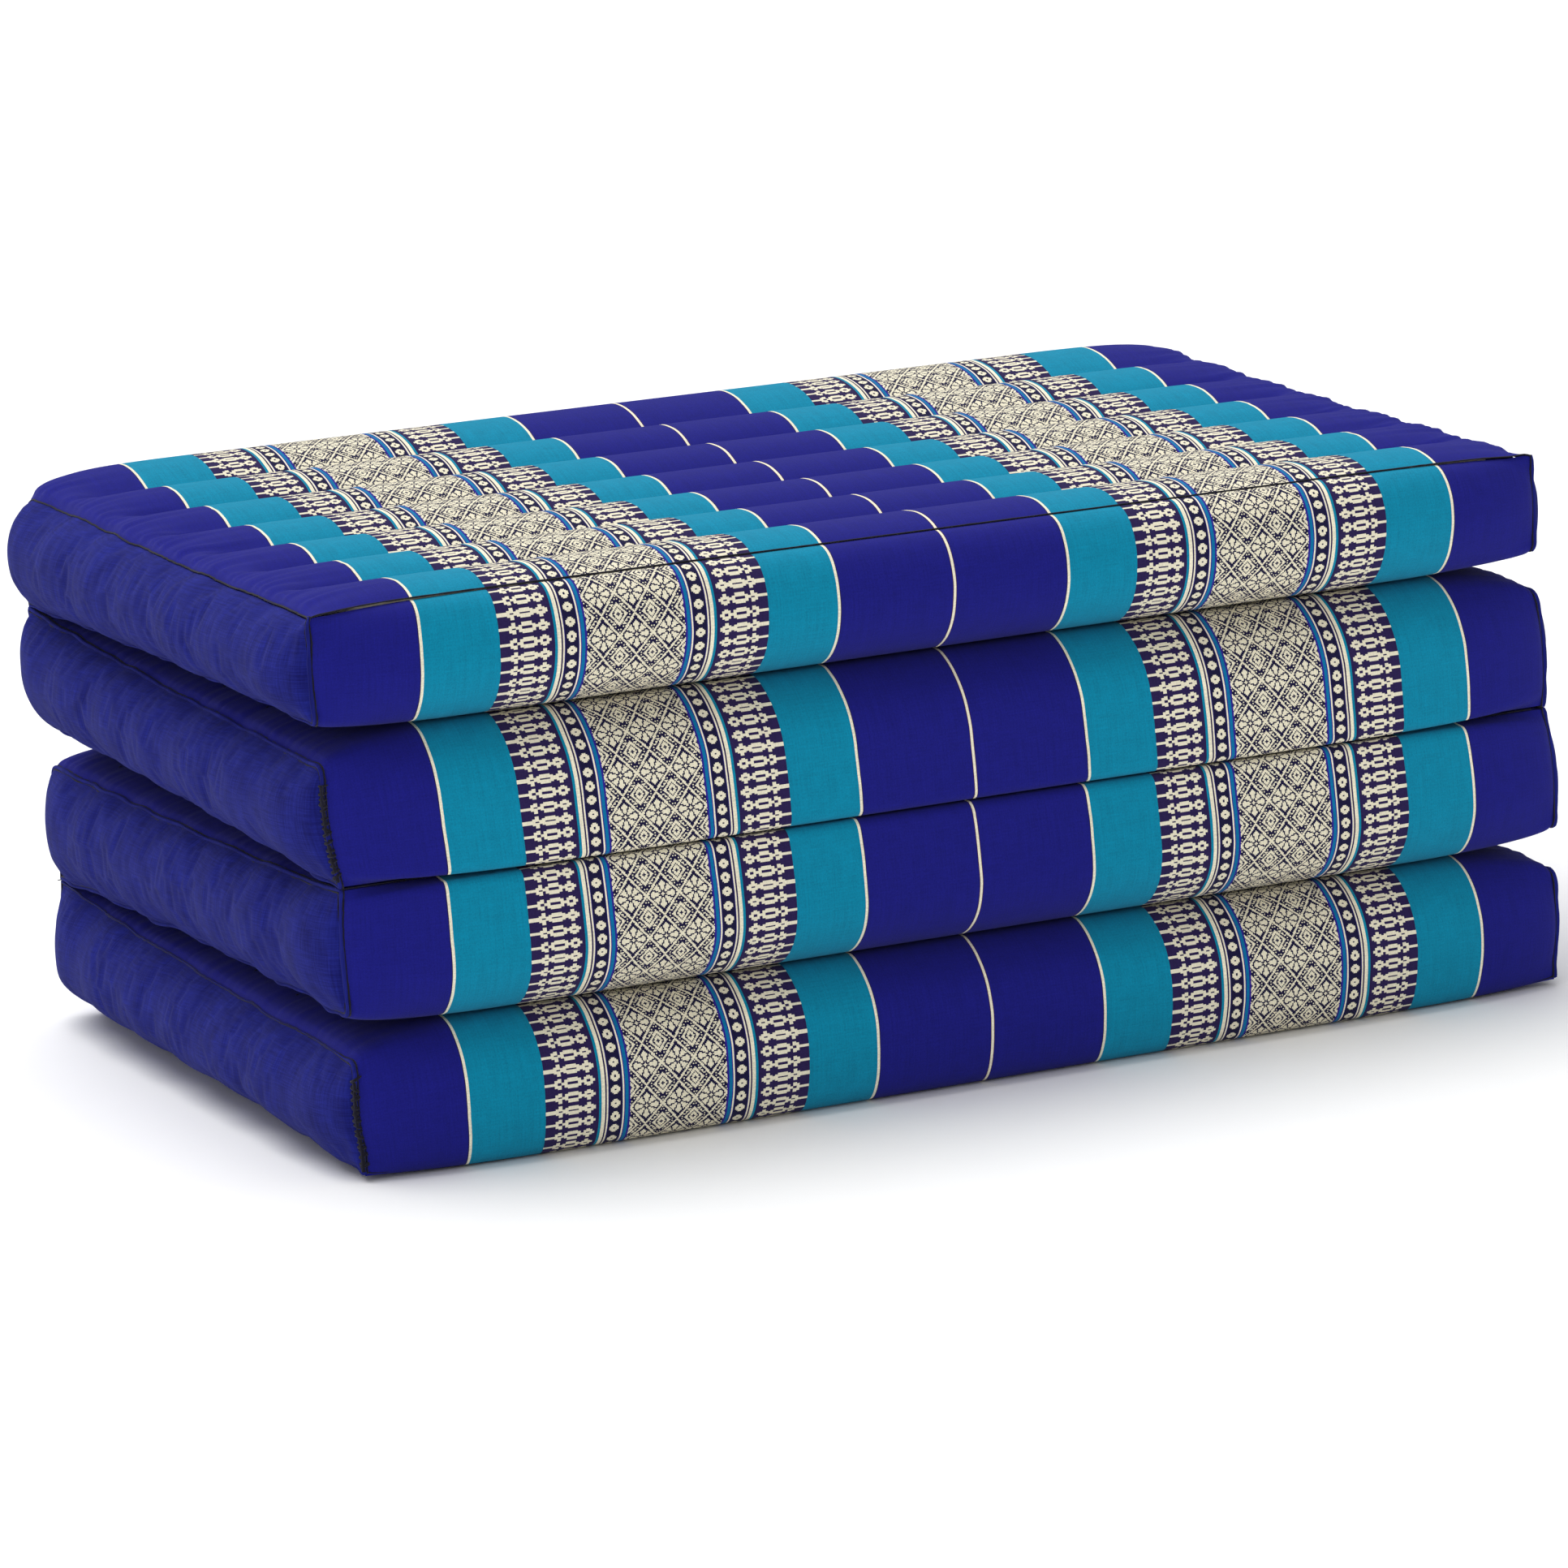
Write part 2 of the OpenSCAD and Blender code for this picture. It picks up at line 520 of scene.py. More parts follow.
@dataclass(frozen=True)
class PlainCloth:
    """The plain blue cotton of the gussets and the folded seam edges."""

    slot: str = "plain_gusset_cloth"
    blue: Colour = srgb(17, 21, 98)
    worn: Colour = srgb(34, 42, 142)

    def build(self) -> bpy.types.Material:
        """Makes the material.

        Returns:
            The finished material.
        """
        graph = Graph(self.slot)
        across, along, _ = graph.place()
        slub = graph.noise(across / 0.9, along / 22, 2.0, 1.0)
        weft = graph.noise(across / 18, along / 0.8, 2.0, 2.0)
        mottle = graph.noise(across / 14, along / 20, 3.0, 3.0)
        worn = (slub * 0.5 + weft * 0.5 + mottle * 0.6 - 0.62) * 1.5
        worn = worn.larger(0.0).smaller(1.0)
        colour = graph.mix(worn, self.blue, self.worn)
        speckle = graph.noise(across / 1.2, along / 0.9, 1.0, 5.0)
        colour = graph.tint(colour, 0.36 + slub * 0.4 + weft * 0.44 + speckle * 0.42)
        threads = (across * (2 * math.pi / 0.6)).sine() * (along * (2 * math.pi / 0.6)).sine()
        height = threads * 0.06 + slub * 0.16 + weft * 0.12 + mottle * 0.2
        return graph.finish(colour, 0.95 - worn * 0.05, height, 0.6, 0.025)


@dataclass(frozen=True)
class Kapok:
    """The off-white fluffy filling."""

    slot: str = "kapok"
    fluff: Colour = srgb(236, 226, 200)

    def build(self) -> bpy.types.Material:
        """Makes the material.

        Returns:
            The finished material.
        """
        graph = Graph(self.slot)
        across, along, around = graph.place()
        tufts = graph.noise(across / 6, along / 6, 4.0, 1.0)
        fibres = graph.noise(across / 1.2, around / 1.2, 3.0, 2.0)
        colour = graph.tint(self.fluff, 0.76 + tufts * 0.3 + fibres * 0.12)
        return graph.finish(colour, 0.9 + tufts * 0.08, tufts * 2.0 + fibres * 0.6, 0.7, 0.4)


@dataclass(frozen=True)
class BaffleCotton:
    """The unbleached cotton of the walls between the channels."""

    slot: str = "cotton_baffle"
    cotton: Colour = srgb(226, 218, 198)

    def build(self) -> bpy.types.Material:
        """Makes the material.

        Returns:
            The finished material.
        """
        graph = Graph(self.slot)
        across, along, _ = graph.place()
        slub = graph.noise(across / 1.2, along / 20, 2.0, 1.0)
        weft = graph.noise(across / 20, along / 1.2, 2.0, 2.0)
        colour = graph.tint(self.cotton, 0.8 + slub * 0.2 + weft * 0.2)
        return graph.finish(colour, 0.9 + slub * 0.06, slub * 0.2 + weft * 0.2, 0.5, 0.1)


@dataclass(frozen=True)
class SeamThread:
    """The dark navy sewing thread."""

    slot: str = "seam_thread"
    navy: Colour = srgb(15, 13, 30)
    lint: Colour = srgb(66, 66, 104)

    def build(self) -> bpy.types.Material:
        """Makes the material.

        Returns:
            The finished material.
        """
        graph = Graph(self.slot)
        along, around, _ = graph.place()
        twist = ((along * 3.2 + around * 2.0) * 2.0).sine() * 0.5 + 0.5
        fluff = graph.noise(along / 1.6, around / 0.8, 2.0, 1.0)
        colour = graph.mix((fluff - 0.55).larger(0.0) * 1.6, self.navy, self.lint)
        thread = graph.tint(colour, 0.7 + twist * 0.4)
        return graph.finish(thread, 0.75 + fluff * 0.15, twist * 0.15, 0.6, 0.1)


@dataclass(frozen=True)
class StudioFloor:
    """The pale seamless floor."""

    slot: str = "studio_floor"
    paper: Colour = srgb(250, 250, 250)

    def build(self) -> bpy.types.Material:
        """Makes the material.

        Returns:
            The finished material.
        """
        graph = Graph(self.slot)
        across, along, _ = graph.place()
        grain = graph.noise(across / 40, along / 40, 2.0, 1.0)
        paper = graph.tint(self.paper, 0.99 + grain * 0.02)
        return graph.finish(paper, 0.8 + grain * 0.05, grain * 0.02, 0.1, 0.0)


class Wardrobe:
    """Holds one material per finish and puts it on pieces."""

    def __init__(self) -> None:
        """Makes every finish of the mattress once."""
        finishes = (StripedCloth(), PlainCloth(), Kapok(), BaffleCotton(), SeamThread())
        self.materials = {finish.slot: finish.build() for finish in finishes}

    def dress(self, piece: bpy.types.Object, slot: str) -> None:
        """Gives a piece its material and names its slot.

        Args:
            piece: The piece.
            slot: The material slot's name.
        """
        piece.data.materials.clear()
        piece.data.materials.append(self.materials[slot])


# ---------------------------------------------------------------- mesh helpers


def refine(grid: Grid) -> Grid:
    """Halves the spacing of a grid of points along both ways, on smooth curves.

    Args:
        grid: Points by row, column and coordinate.

    Returns:
        The finer grid, which keeps the first grid's points.
    """
    for axis in (0, 1):
        turned = np.moveaxis(grid, axis, 0)
        first = 2 * turned[:1] - turned[1:2]
        last = 2 * turned[-1:] - turned[-2:-1]
        padded = np.concatenate([first, turned, last])
        middle = (9 * (padded[1:-2] + padded[2:-1]) - padded[:-3] - padded[3:]) / 16
        finer = np.empty((2 * len(turned) - 1, *turned.shape[1:]))
        finer[::2] = turned
        finer[1::2] = middle
        grid = np.moveaxis(finer, 0, axis)
    return grid


def unit(vectors: Grid) -> Grid:
    """Scales vectors to a length of 1."""
    return vectors / np.maximum(np.linalg.norm(vectors, axis=-1, keepdims=True), TINY)


def facing(grid: Grid, inside: Grid) -> tuple[int, Grid]:
    """Finds which way the faces of a grid have to turn to look away from a point inside.

    Args:
        grid: Points by row, column and coordinate.
        inside: A point behind the grid.

    Returns:
        1 to keep the order of a face's corners or -1 to reverse it, and the outward normals.
    """
    normals = unit(np.cross(np.gradient(grid, axis=1), np.gradient(grid, axis=0)))
    order = 1 if np.sum(normals * (grid - inside)) > 0 else -1
    return order, normals * order


def quads(rows: int, columns: int, closed: bool = False) -> np.ndarray:
    """Gives the faces of a grid.

    Args:
        rows: How many rows of points it has.
        columns: How many points are in a row.
        closed: Whether the last column joins the first.

    Returns:
        Four point numbers for each face.
    """
    steps = columns if closed else columns - 1
    r, c = np.meshgrid(np.arange(rows - 1), np.arange(steps), indexing="ij")
    low, high, after = r * columns, (r + 1) * columns, (c + 1) % columns
    return np.stack([low + c, low + after, high + after, high + c], axis=-1).reshape(-1, 4)


def smooth(low: float, high: float, value: Grid) -> Grid:
    """Goes smoothly from 0 at low to 1 at high."""
    share = np.clip((value - low) / (high - low), 0, 1)
    return share * share * (3 - 2 * share)


def travelled(points: Grid) -> Grid:
    """Gives the length of a path up to each of its points."""
    steps = np.linalg.norm(np.diff(points, axis=0), axis=1)
    return np.concatenate([[0], np.cumsum(steps)])


def make_mesh(name: str, points: Grid, faces: Faces, places: Grid | None = None) -> bpy.types.Mesh:
    """Makes a mesh.

    Args:
        name: The mesh's name.
        points: Its points.
        faces: Its faces.
        places: Where each point lies on the cloth, in millimetres.

    Returns:
        The mesh.
    """
    mesh = bpy.data.meshes.new(name)
    listed = faces.tolist() if isinstance(faces, np.ndarray) else faces
    mesh.from_pydata(points.reshape(-1, 3).tolist(), [], listed)
    if places is not None:
        attribute = mesh.attributes.new(PLACE, "FLOAT_VECTOR", "POINT")
        attribute.data.foreach_set("vector", places.reshape(-1).astype(np.float32))
    return mesh


def add_object(name: str, data: bpy.types.ID) -> bpy.types.Object:
    """Adds an object to the scene."""
    made = bpy.data.objects.new(name, data)
    bpy.context.scene.collection.objects.link(made)
    return made


class Ripple:
    """Smooth repeatable unevenness along one line."""

    def __init__(self, seed: int, step: float) -> None:
        """Draws the random levels.

        Args:
            seed: What makes one line differ from another.
            step: Distance between two levels.
        """
        self.levels = np.random.default_rng(seed).uniform(-1, 1, 512)
        self.step = step

    def __call__(self, place: Grid) -> Grid:
        """Gives the unevenness at places along the line.

        Args:
            place: The places.

        Returns:
            Values from -1 to 1.
        """
        scaled = np.asarray(place) / self.step + 200
        low = np.floor(scaled).astype(int)
        share = smooth(0, 1, scaled - low)
        before, after = (self.levels[index % len(self.levels)] for index in (low, low + 1))
        return before * (1 - share) + after * share


@dataclass(frozen=True)
class Tag:
    """What a piece is called, wears, moves with and stands for."""

    name: str
    slot: str
    body: str
    node: str


@dataclass
class Mesher:
    """Turns arrays of points in metres into named pieces."""

    wardrobe: Wardrobe

    def piece(
        self, tag: Tag, points: Grid, faces: Faces, places: Grid, normals: Grid | None = None
    ) -> bpy.types.Object:
        """Makes one piece that rides on a body.

        Args:
            tag: The piece's name, slot, body and CAD node.
            points: Its points, in metres.
            faces: Its faces.
            places: Where each point lies on the cloth, in millimetres.
            normals: Its normals, where the faces alone don't give them.

        Returns:
            The piece.
        """
        mesh = make_mesh(tag.name, points, faces, places)
        mesh.shade_smooth()
        mesh.update()
        if normals is not None:
            mesh.normals_split_custom_set_from_vertices(normals.reshape(-1, 3).tolist())
        made = add_object(tag.name, mesh)
        self.wardrobe.dress(made, tag.slot)
        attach(made, tag.body)
        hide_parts(tag.node)
        LOG.info("%s: %d faces", tag.name, len(mesh.polygons))
        return made

    def swept(self, tag: Tag, points: Grid, faces: Faces) -> bpy.types.Object:
        """Makes a piece whose points also give their places on the cloth.

        Args:
            tag: The piece's name, slot, body and CAD node.
            points: Its points, in metres.
            faces: Its faces.

        Returns:
            The piece, with its faces looking outwards.
        """
        made = self.piece(tag, points, faces, points / METRES)
        shape = bmesh.new()
        shape.from_mesh(made.data)
        bmesh.ops.recalc_face_normals(shape, faces=shape.faces)
        shape.to_mesh(made.data)
        shape.free()
        return made

    @staticmethod
    def joined(parts: list[tuple[Grid, np.ndarray]]) -> tuple[Grid, np.ndarray]:
        """Joins several sets of points and faces into one.

        Args:
            parts: The points and the faces of each set.

        Returns:
            All points and all faces.
        """
        points, faces, count = [], [], 0
        for part_points, part_faces in parts:
            flat = part_points.reshape(-1, 3)
            points.append(flat)
            faces.append(part_faces + count)
            count += len(flat)
        return np.concatenate(points), np.concatenate(faces)


@dataclass(frozen=True)
class ClothSettler:
    """Lets sewn cloth swell and wrinkle under the pressure of its filling."""

    frames: int = 14
    pressure: float = 4.0
    slack: float = 0.007
    cap: float = 2.2

    def settle(self, grid: Grid, inside: Grid, sewn: np.ndarray) -> Grid:
        """Runs a short cloth simulation, which keeps the sewn points where they are.

        Args:
            grid: Points by row, column and coordinate, in millimetres.
            inside: A point behind the cloth.
            sewn: Which points are held by seams, by row and column.

        Returns:
            The settled points.
        """
        order, _ = facing(grid, inside)
        mesh = make_mesh("cloth_trial", grid * METRES, quads(*grid.shape[:2])[:, ::order])
        trial = add_object("cloth_trial", mesh)
        scene = bpy.context.scene
        group = trial.vertex_groups.new(name="sewn")
        group.add(np.flatnonzero(sewn).tolist(), 1.0, "REPLACE")
        cloth = trial.modifiers.new("cloth", "CLOTH")
        settings = cloth.settings
        settings.quality = 5
        settings.mass = 0.2
        settings.vertex_group_mass = group.name
        settings.tension_stiffness = 20.0
        settings.compression_stiffness = 20.0
        settings.shear_stiffness = 5.0
        settings.bending_stiffness = 0.5
        settings.use_pressure = True
        settings.uniform_pressure_force = self.pressure
        settings.shrink_min = -self.slack
        settings.effector_weights.gravity = 0.0
        cloth.collision_settings.use_collision = False
        cloth.point_cache.frame_end = self.frames
        for number in range(1, self.frames + 1):
            scene.frame_set(number)
        shape = trial.evaluated_get(bpy.context.evaluated_depsgraph_get()).data
        flat = np.empty(grid.size, dtype=np.float32)
        shape.vertices.foreach_get("co", flat)
        moved = flat.reshape(grid.shape) / METRES - grid
        reach = np.linalg.norm(moved, axis=2, keepdims=True)
        bpy.data.objects.remove(trial)
        bpy.data.meshes.remove(mesh)
        scene.frame_set(1)
        LOG.info("cloth settled: %.2f mm on average, %.2f mm at most", reach.mean(), reach.max())
        return grid + moved * np.minimum(1.0, self.cap / np.maximum(reach, 1e-6))


def tube(
    path: Grid, side: Grid, up: Grid, wide: Grid, tall: Grid, sections: int, closed: bool = False
) -> tuple[Grid, np.ndarray]:
    """Sweeps an oval along a path.

    Args:
        path: The points of the path.
        side: The unit direction of the oval's width at each point.
        up: The unit direction of its height.
        wide: Half its width at each point.
        tall: Half its height at each point.
        sections: How many points go round the oval.
        closed: Whether the path returns to its start.

    Returns:
        The points by path point and section, and the faces.
    """
    angle = np.arange(sections) * 2 * math.pi / sections
    across = (wide[:, None] * np.cos(angle))[..., None] * side[:, None, :]
    above = (tall[:, None] * np.sin(angle))[..., None] * up[:, None, :]
    points = path[:, None, :] + across + above
    faces = quads(len(path), sections, closed=True)
    if closed:
        around = np.arange(sections)
        after = (around + 1) % sections
        last = (len(path) - 1) * sections
        joint = np.stack([last + around, last + after, after, around], axis=-1)
        faces = np.concatenate([faces, joint])
    return points, faces


# ---------------------------------------------------------------- the panels


class SheetSide(Enum):
    """The two sheets that wrap a panel."""

    UNDER = "under_sheet"
    SLEEPING = "sleeping_sheet"


@dataclass(frozen=True)
class StackSizes:
    """The sizes that all panels share, read from the frame, in millimetres."""

    half_width: float
    fold: float
    height: float
    pitch: float
    channels: int = 7
    rows_per_channel: int = 15
    end_rows: int = 20
    columns: int = 96
    plane_inset: float = 0.5
    base_lean: float = 7.0
    lean_back: float = 9.0

    @classmethod
    def from_frame(cls) -> "StackSizes":
        """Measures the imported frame."""
        low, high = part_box("bottom_panel_under_sheet")
        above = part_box("lower_panel_under_sheet")[0]
        fold = (high.y - low.y) / 2 + HALF_FOLD_GAP
        sizes = (high.x, fold, high.z - low.z, above.z - low.z)
        return cls(*(size / METRES for size in sizes))

    @property
    def face_rows(self) -> int:
        """Gives how many steps the rows of a long face make."""
        return self.channels * self.rows_per_channel

    @property
    def plane(self) -> float:
        """Gives how far out the ends stand at the seams, where opened panels meet."""
        return self.fold - self.plane_inset

    @property
    def channel(self) -> float:
        """Gives the width of one channel."""
        return 2 * self.fold / self.channels

    def skew(self, height: Grid) -> Grid:
        """Gives how far the hand-folded stack leans sideways.

        Args:
            height: The height above the floor.

        Returns:
            The distance to the right.
        """
        top = 4 * self.pitch
        return self.base_lean - self.lean_back * smooth(0.3 * top, 0.85 * top, height)

    def width_places(self) -> Grid:
        """Gives the places of the columns across the width, closer together near the sides."""
        share = np.linspace(-1, 1, self.columns + 1)
        return self.half_width * (0.42 * share + 0.58 * np.sin(share * math.pi / 2))


@dataclass(frozen=True)
class SheetPlan:
    """The shape of one sheet, in its own frame: a face on top, and an end that it wraps at +Y."""

    crest: float
    valley: float
    start_level: float
    end_level: float
    start_side: float
    wrap_side: float
    end_side: float
    wrap_radius: float
    limit: float
    dip: float = 0.0
    tilt: float = 0.0
    end_tilt: float = 0.0
    lean: float = 0.0
    edge_power: float = 9.0
    valley_fade: float = 75.0
    tuck: float = 0.12


@dataclass(frozen=True)
class PanelPlan:
    """What sets one panel apart from the others."""

    name: str
    level: int
    sheets: dict[SheetSide, SheetPlan]
    gusset_bulges: tuple[float, float]
    gathers: float
    welt: float
    shift_across: float
    shift_along: float
    ear: float = 0.0
    hand_sewn: bool = False
    bow: float = 4.0
    free_draw: float = 0.0
    floor_draw: float = 0.0
    floor_lift: float = 0.0

    @property
    def body(self) -> str:
        """Gives the name of the panel's body."""
        return f"{self.name}_panel"

    @property
    def flipped(self) -> bool:
        """Says whether the panel lies the other way up in the zigzag."""
        return self.level % 2 == 0


@dataclass
class SheetShape:
    """Works out the points of one sheet before it is placed in its panel."""

    sizes: StackSizes
    plan: SheetPlan
    bulge: float = 22.0
    wrap_reach: float = 28.0

    def _face(self) -> tuple[Grid, Grid]:
        """Gives the section of the long face in the middle of the width.

        Returns:
            The y places and the heights of the rows.
        """
        sizes, plan = self.sizes, self.plan
        per = sizes.rows_per_channel
        share = np.linspace(0, 1, per + 1)[:-1]
        crown = 1 - np.abs(2 * share - 1) ** CROWN_POWER
        places = []
        heights = []
        for channel in range(sizes.channels - 1):
            left = plan.start_level if channel == 0 else plan.valley
            level = left + (plan.valley - left) * share
            rise = plan.crest - (left + plan.valley) / 2
            places.append(-sizes.fold + (channel + share) * sizes.channel)
            heights.append(level + rise * crown)
        valley = sizes.fold - sizes.channel
        turn = sizes.fold - self.wrap_reach
        fine = np.linspace(valley, sizes.plane, 400)
        fall = np.clip((turn - fine) / (turn - valley), 0, 1) ** CROWN_POWER
        rise = plan.crest - (plan.crest - plan.valley) * fall
        middle = sizes.height / 2
        over = np.clip((fine - turn) / (self.wrap_reach + self.bulge), 0, 1)
        height = np.where(fine > turn, middle + (plan.crest - middle) * np.sqrt(1 - over**2), rise)
        self._append_by_length(places, heights, fine, height, per + 1)
        return np.concatenate(places), np.concatenate(heights)

    @staticmethod
    def _append_by_length(places: list, heights: list, y: Grid, z: Grid, count: int) -> None:
        """Adds a stretch of a section with its points evenly spaced along it.

        Args:
            places: The y places so far.
            heights: The heights so far.
            y: The y places of the stretch, closely spaced.
            z: Its heights.
            count: How many points to add.
        """
        length = travelled(np.stack([y, z], axis=1))
        wanted = np.linspace(0, length[-1], count)
        places.append(np.interp(wanted, length, y))
        heights.append(np.interp(wanted, length, z))

    def _end(self, start: float) -> tuple[Grid, Grid]:
        """Gives the section of the end in the middle of the width.

        Args:
            start: The height where the end starts.

        Returns:
            The y places and the heights of the rows after the first.
        """
        sizes, plan = self.sizes, self.plan
        middle = sizes.height / 2
        turn = sizes.fold - self.wrap_reach
        reach = self.wrap_reach + self.bulge
        first = math.asin((sizes.plane - turn) / reach)
        angle = np.linspace(first, math.pi / 2, 200)
        upper_y = turn + reach * np.sin(angle)
        upper_z = middle + (start - middle) * np.cos(angle) / math.cos(first)
        angle = math.pi / 2 * (1 - (1 - np.linspace(0, 1, 300)[1:]) ** 3)
        lower_y = sizes.plane + (self.bulge + 0.5) * np.clip(np.cos(angle), 0, 1) ** plan.tuck
        lower_z = middle - (middle - plan.end_level) * np.sin(angle)
        places, heights = [], []
        y = np.concatenate([upper_y, lower_y])
        z = np.concatenate([upper_z, lower_z])
        self._append_by_length(places, heights, y, z, sizes.end_rows + 1)
        return places[0][1:], heights[0][1:]

    def _side(self) -> tuple[Grid, Grid]:
        """Gives the section of the whole sheet at the side seams.

        Returns:
            The y places and the heights of all rows.
        """
        sizes, plan = self.sizes, self.plan
        per = sizes.rows_per_channel
        flat_rows = sizes.face_rows - per
        y = np.linspace(-sizes.plane, sizes.fold - sizes.channel, flat_rows + 1)[:-1]
        share = (y + sizes.plane) / (2 * sizes.plane)
        droop = 1 - (1 - share) ** CROWN_POWER
        places = [y]
        fall = plan.wrap_side - plan.start_side
        heights = [plan.start_side + fall * droop]
        radius = plan.wrap_radius
        angle = np.linspace(0, math.pi / 2, 60)
        start = plan.start_side + fall * (1 - (1 / sizes.channels) ** CROWN_POWER)
        bend_y = sizes.plane - radius + radius * np.sin(angle)
        corner_y = np.concatenate([[sizes.fold - sizes.channel], bend_y])
        corner_z = np.concatenate([[start], plan.wrap_side - radius + radius * np.cos(angle)])
        self._append_by_length(places, heights, corner_y, corner_z, per + 1)
        places.append(np.full(sizes.end_rows, sizes.plane))
        low = plan.wrap_side - radius
        share = np.arange(1, sizes.end_rows + 1) / sizes.end_rows
        heights.append(low + (plan.end_side - low) * share)
        return np.concatenate(places), np.concatenate(heights)

    def _filled(self, heights: Grid) -> Grid:
        """Fills the valleys of the long face up to the lower of the crests beside them.

        Args:
            heights: The heights of all rows.

        Returns:
            The filled heights.
        """
        filled = heights.copy()
        face = heights[: self.sizes.face_rows]
        from_left = np.maximum.accumulate(face, axis=0)
        from_right = np.maximum.accumulate(face[::-1], axis=0)[::-1]
        filled[: self.sizes.face_rows] = np.minimum(from_left, from_right)
        return filled

    def grid(self) -> Grid:
        """Works out all points of the sheet.

        Returns:
            Points by row, column and coordinate, in millimetres.
        """
        sizes, plan = self.sizes, self.plan
        face_y, face_z = self._face()
        end_y, end_z = self._end(face_z[-1])
        middle_y = np.concatenate([face_y, end_y])[:, None]
        middle_z = np.concatenate([face_z, end_z])[:, None]
        middle_y[0] = -sizes.plane
        side_y, side_z = (values[:, None] for values in self._side())
        x = sizes.width_places()
        out = np.abs(x / sizes.half_width)[None]
        drop = np.sqrt(np.clip(1 - out**plan.edge_power, 0, 1))
        swell = np.clip(1 - out**6, 0, 1) ** 0.6
        filled = self._filled(middle_z)
        open_share = smooth(0, plan.valley_fade, sizes.half_width * (1 - out))
        middle_z = filled + (middle_z - filled) * open_share
        y = side_y + (middle_y - side_y) * swell
        z = side_z + (middle_z - side_z) * drop
        rows = len(side_y)
        half = sizes.height / 2
        sideways = x / sizes.half_width
        top = np.clip((z - half) / half, 0, 1)
        sag = np.clip(1 - (middle_y / sizes.plane) ** 2, 0, 1)
        slope = np.clip(middle_y / sizes.plane, -1, 1) * plan.lean
        z = z + top * (slope - plan.dip * sag * drop - plan.tilt * sideways)
        low = np.clip((half - z) / half, 0, 1)
        ends = (np.arange(rows) > sizes.face_rows)[:, None]
        z = np.minimum(z + low * ends * plan.end_tilt * sideways, plan.limit)
        return np.stack([np.broadcast_to(x, (rows, len(x))), y, z], axis=-1)


def pleats(place: Grid, wide: float, wider: float) -> Grid:
    """Gives small folds side by side, made of two wavelengths."""
    return np.sin(place * (2 * math.pi / wide)) + 0.6 * np.sin(place * (2 * math.pi / wider))


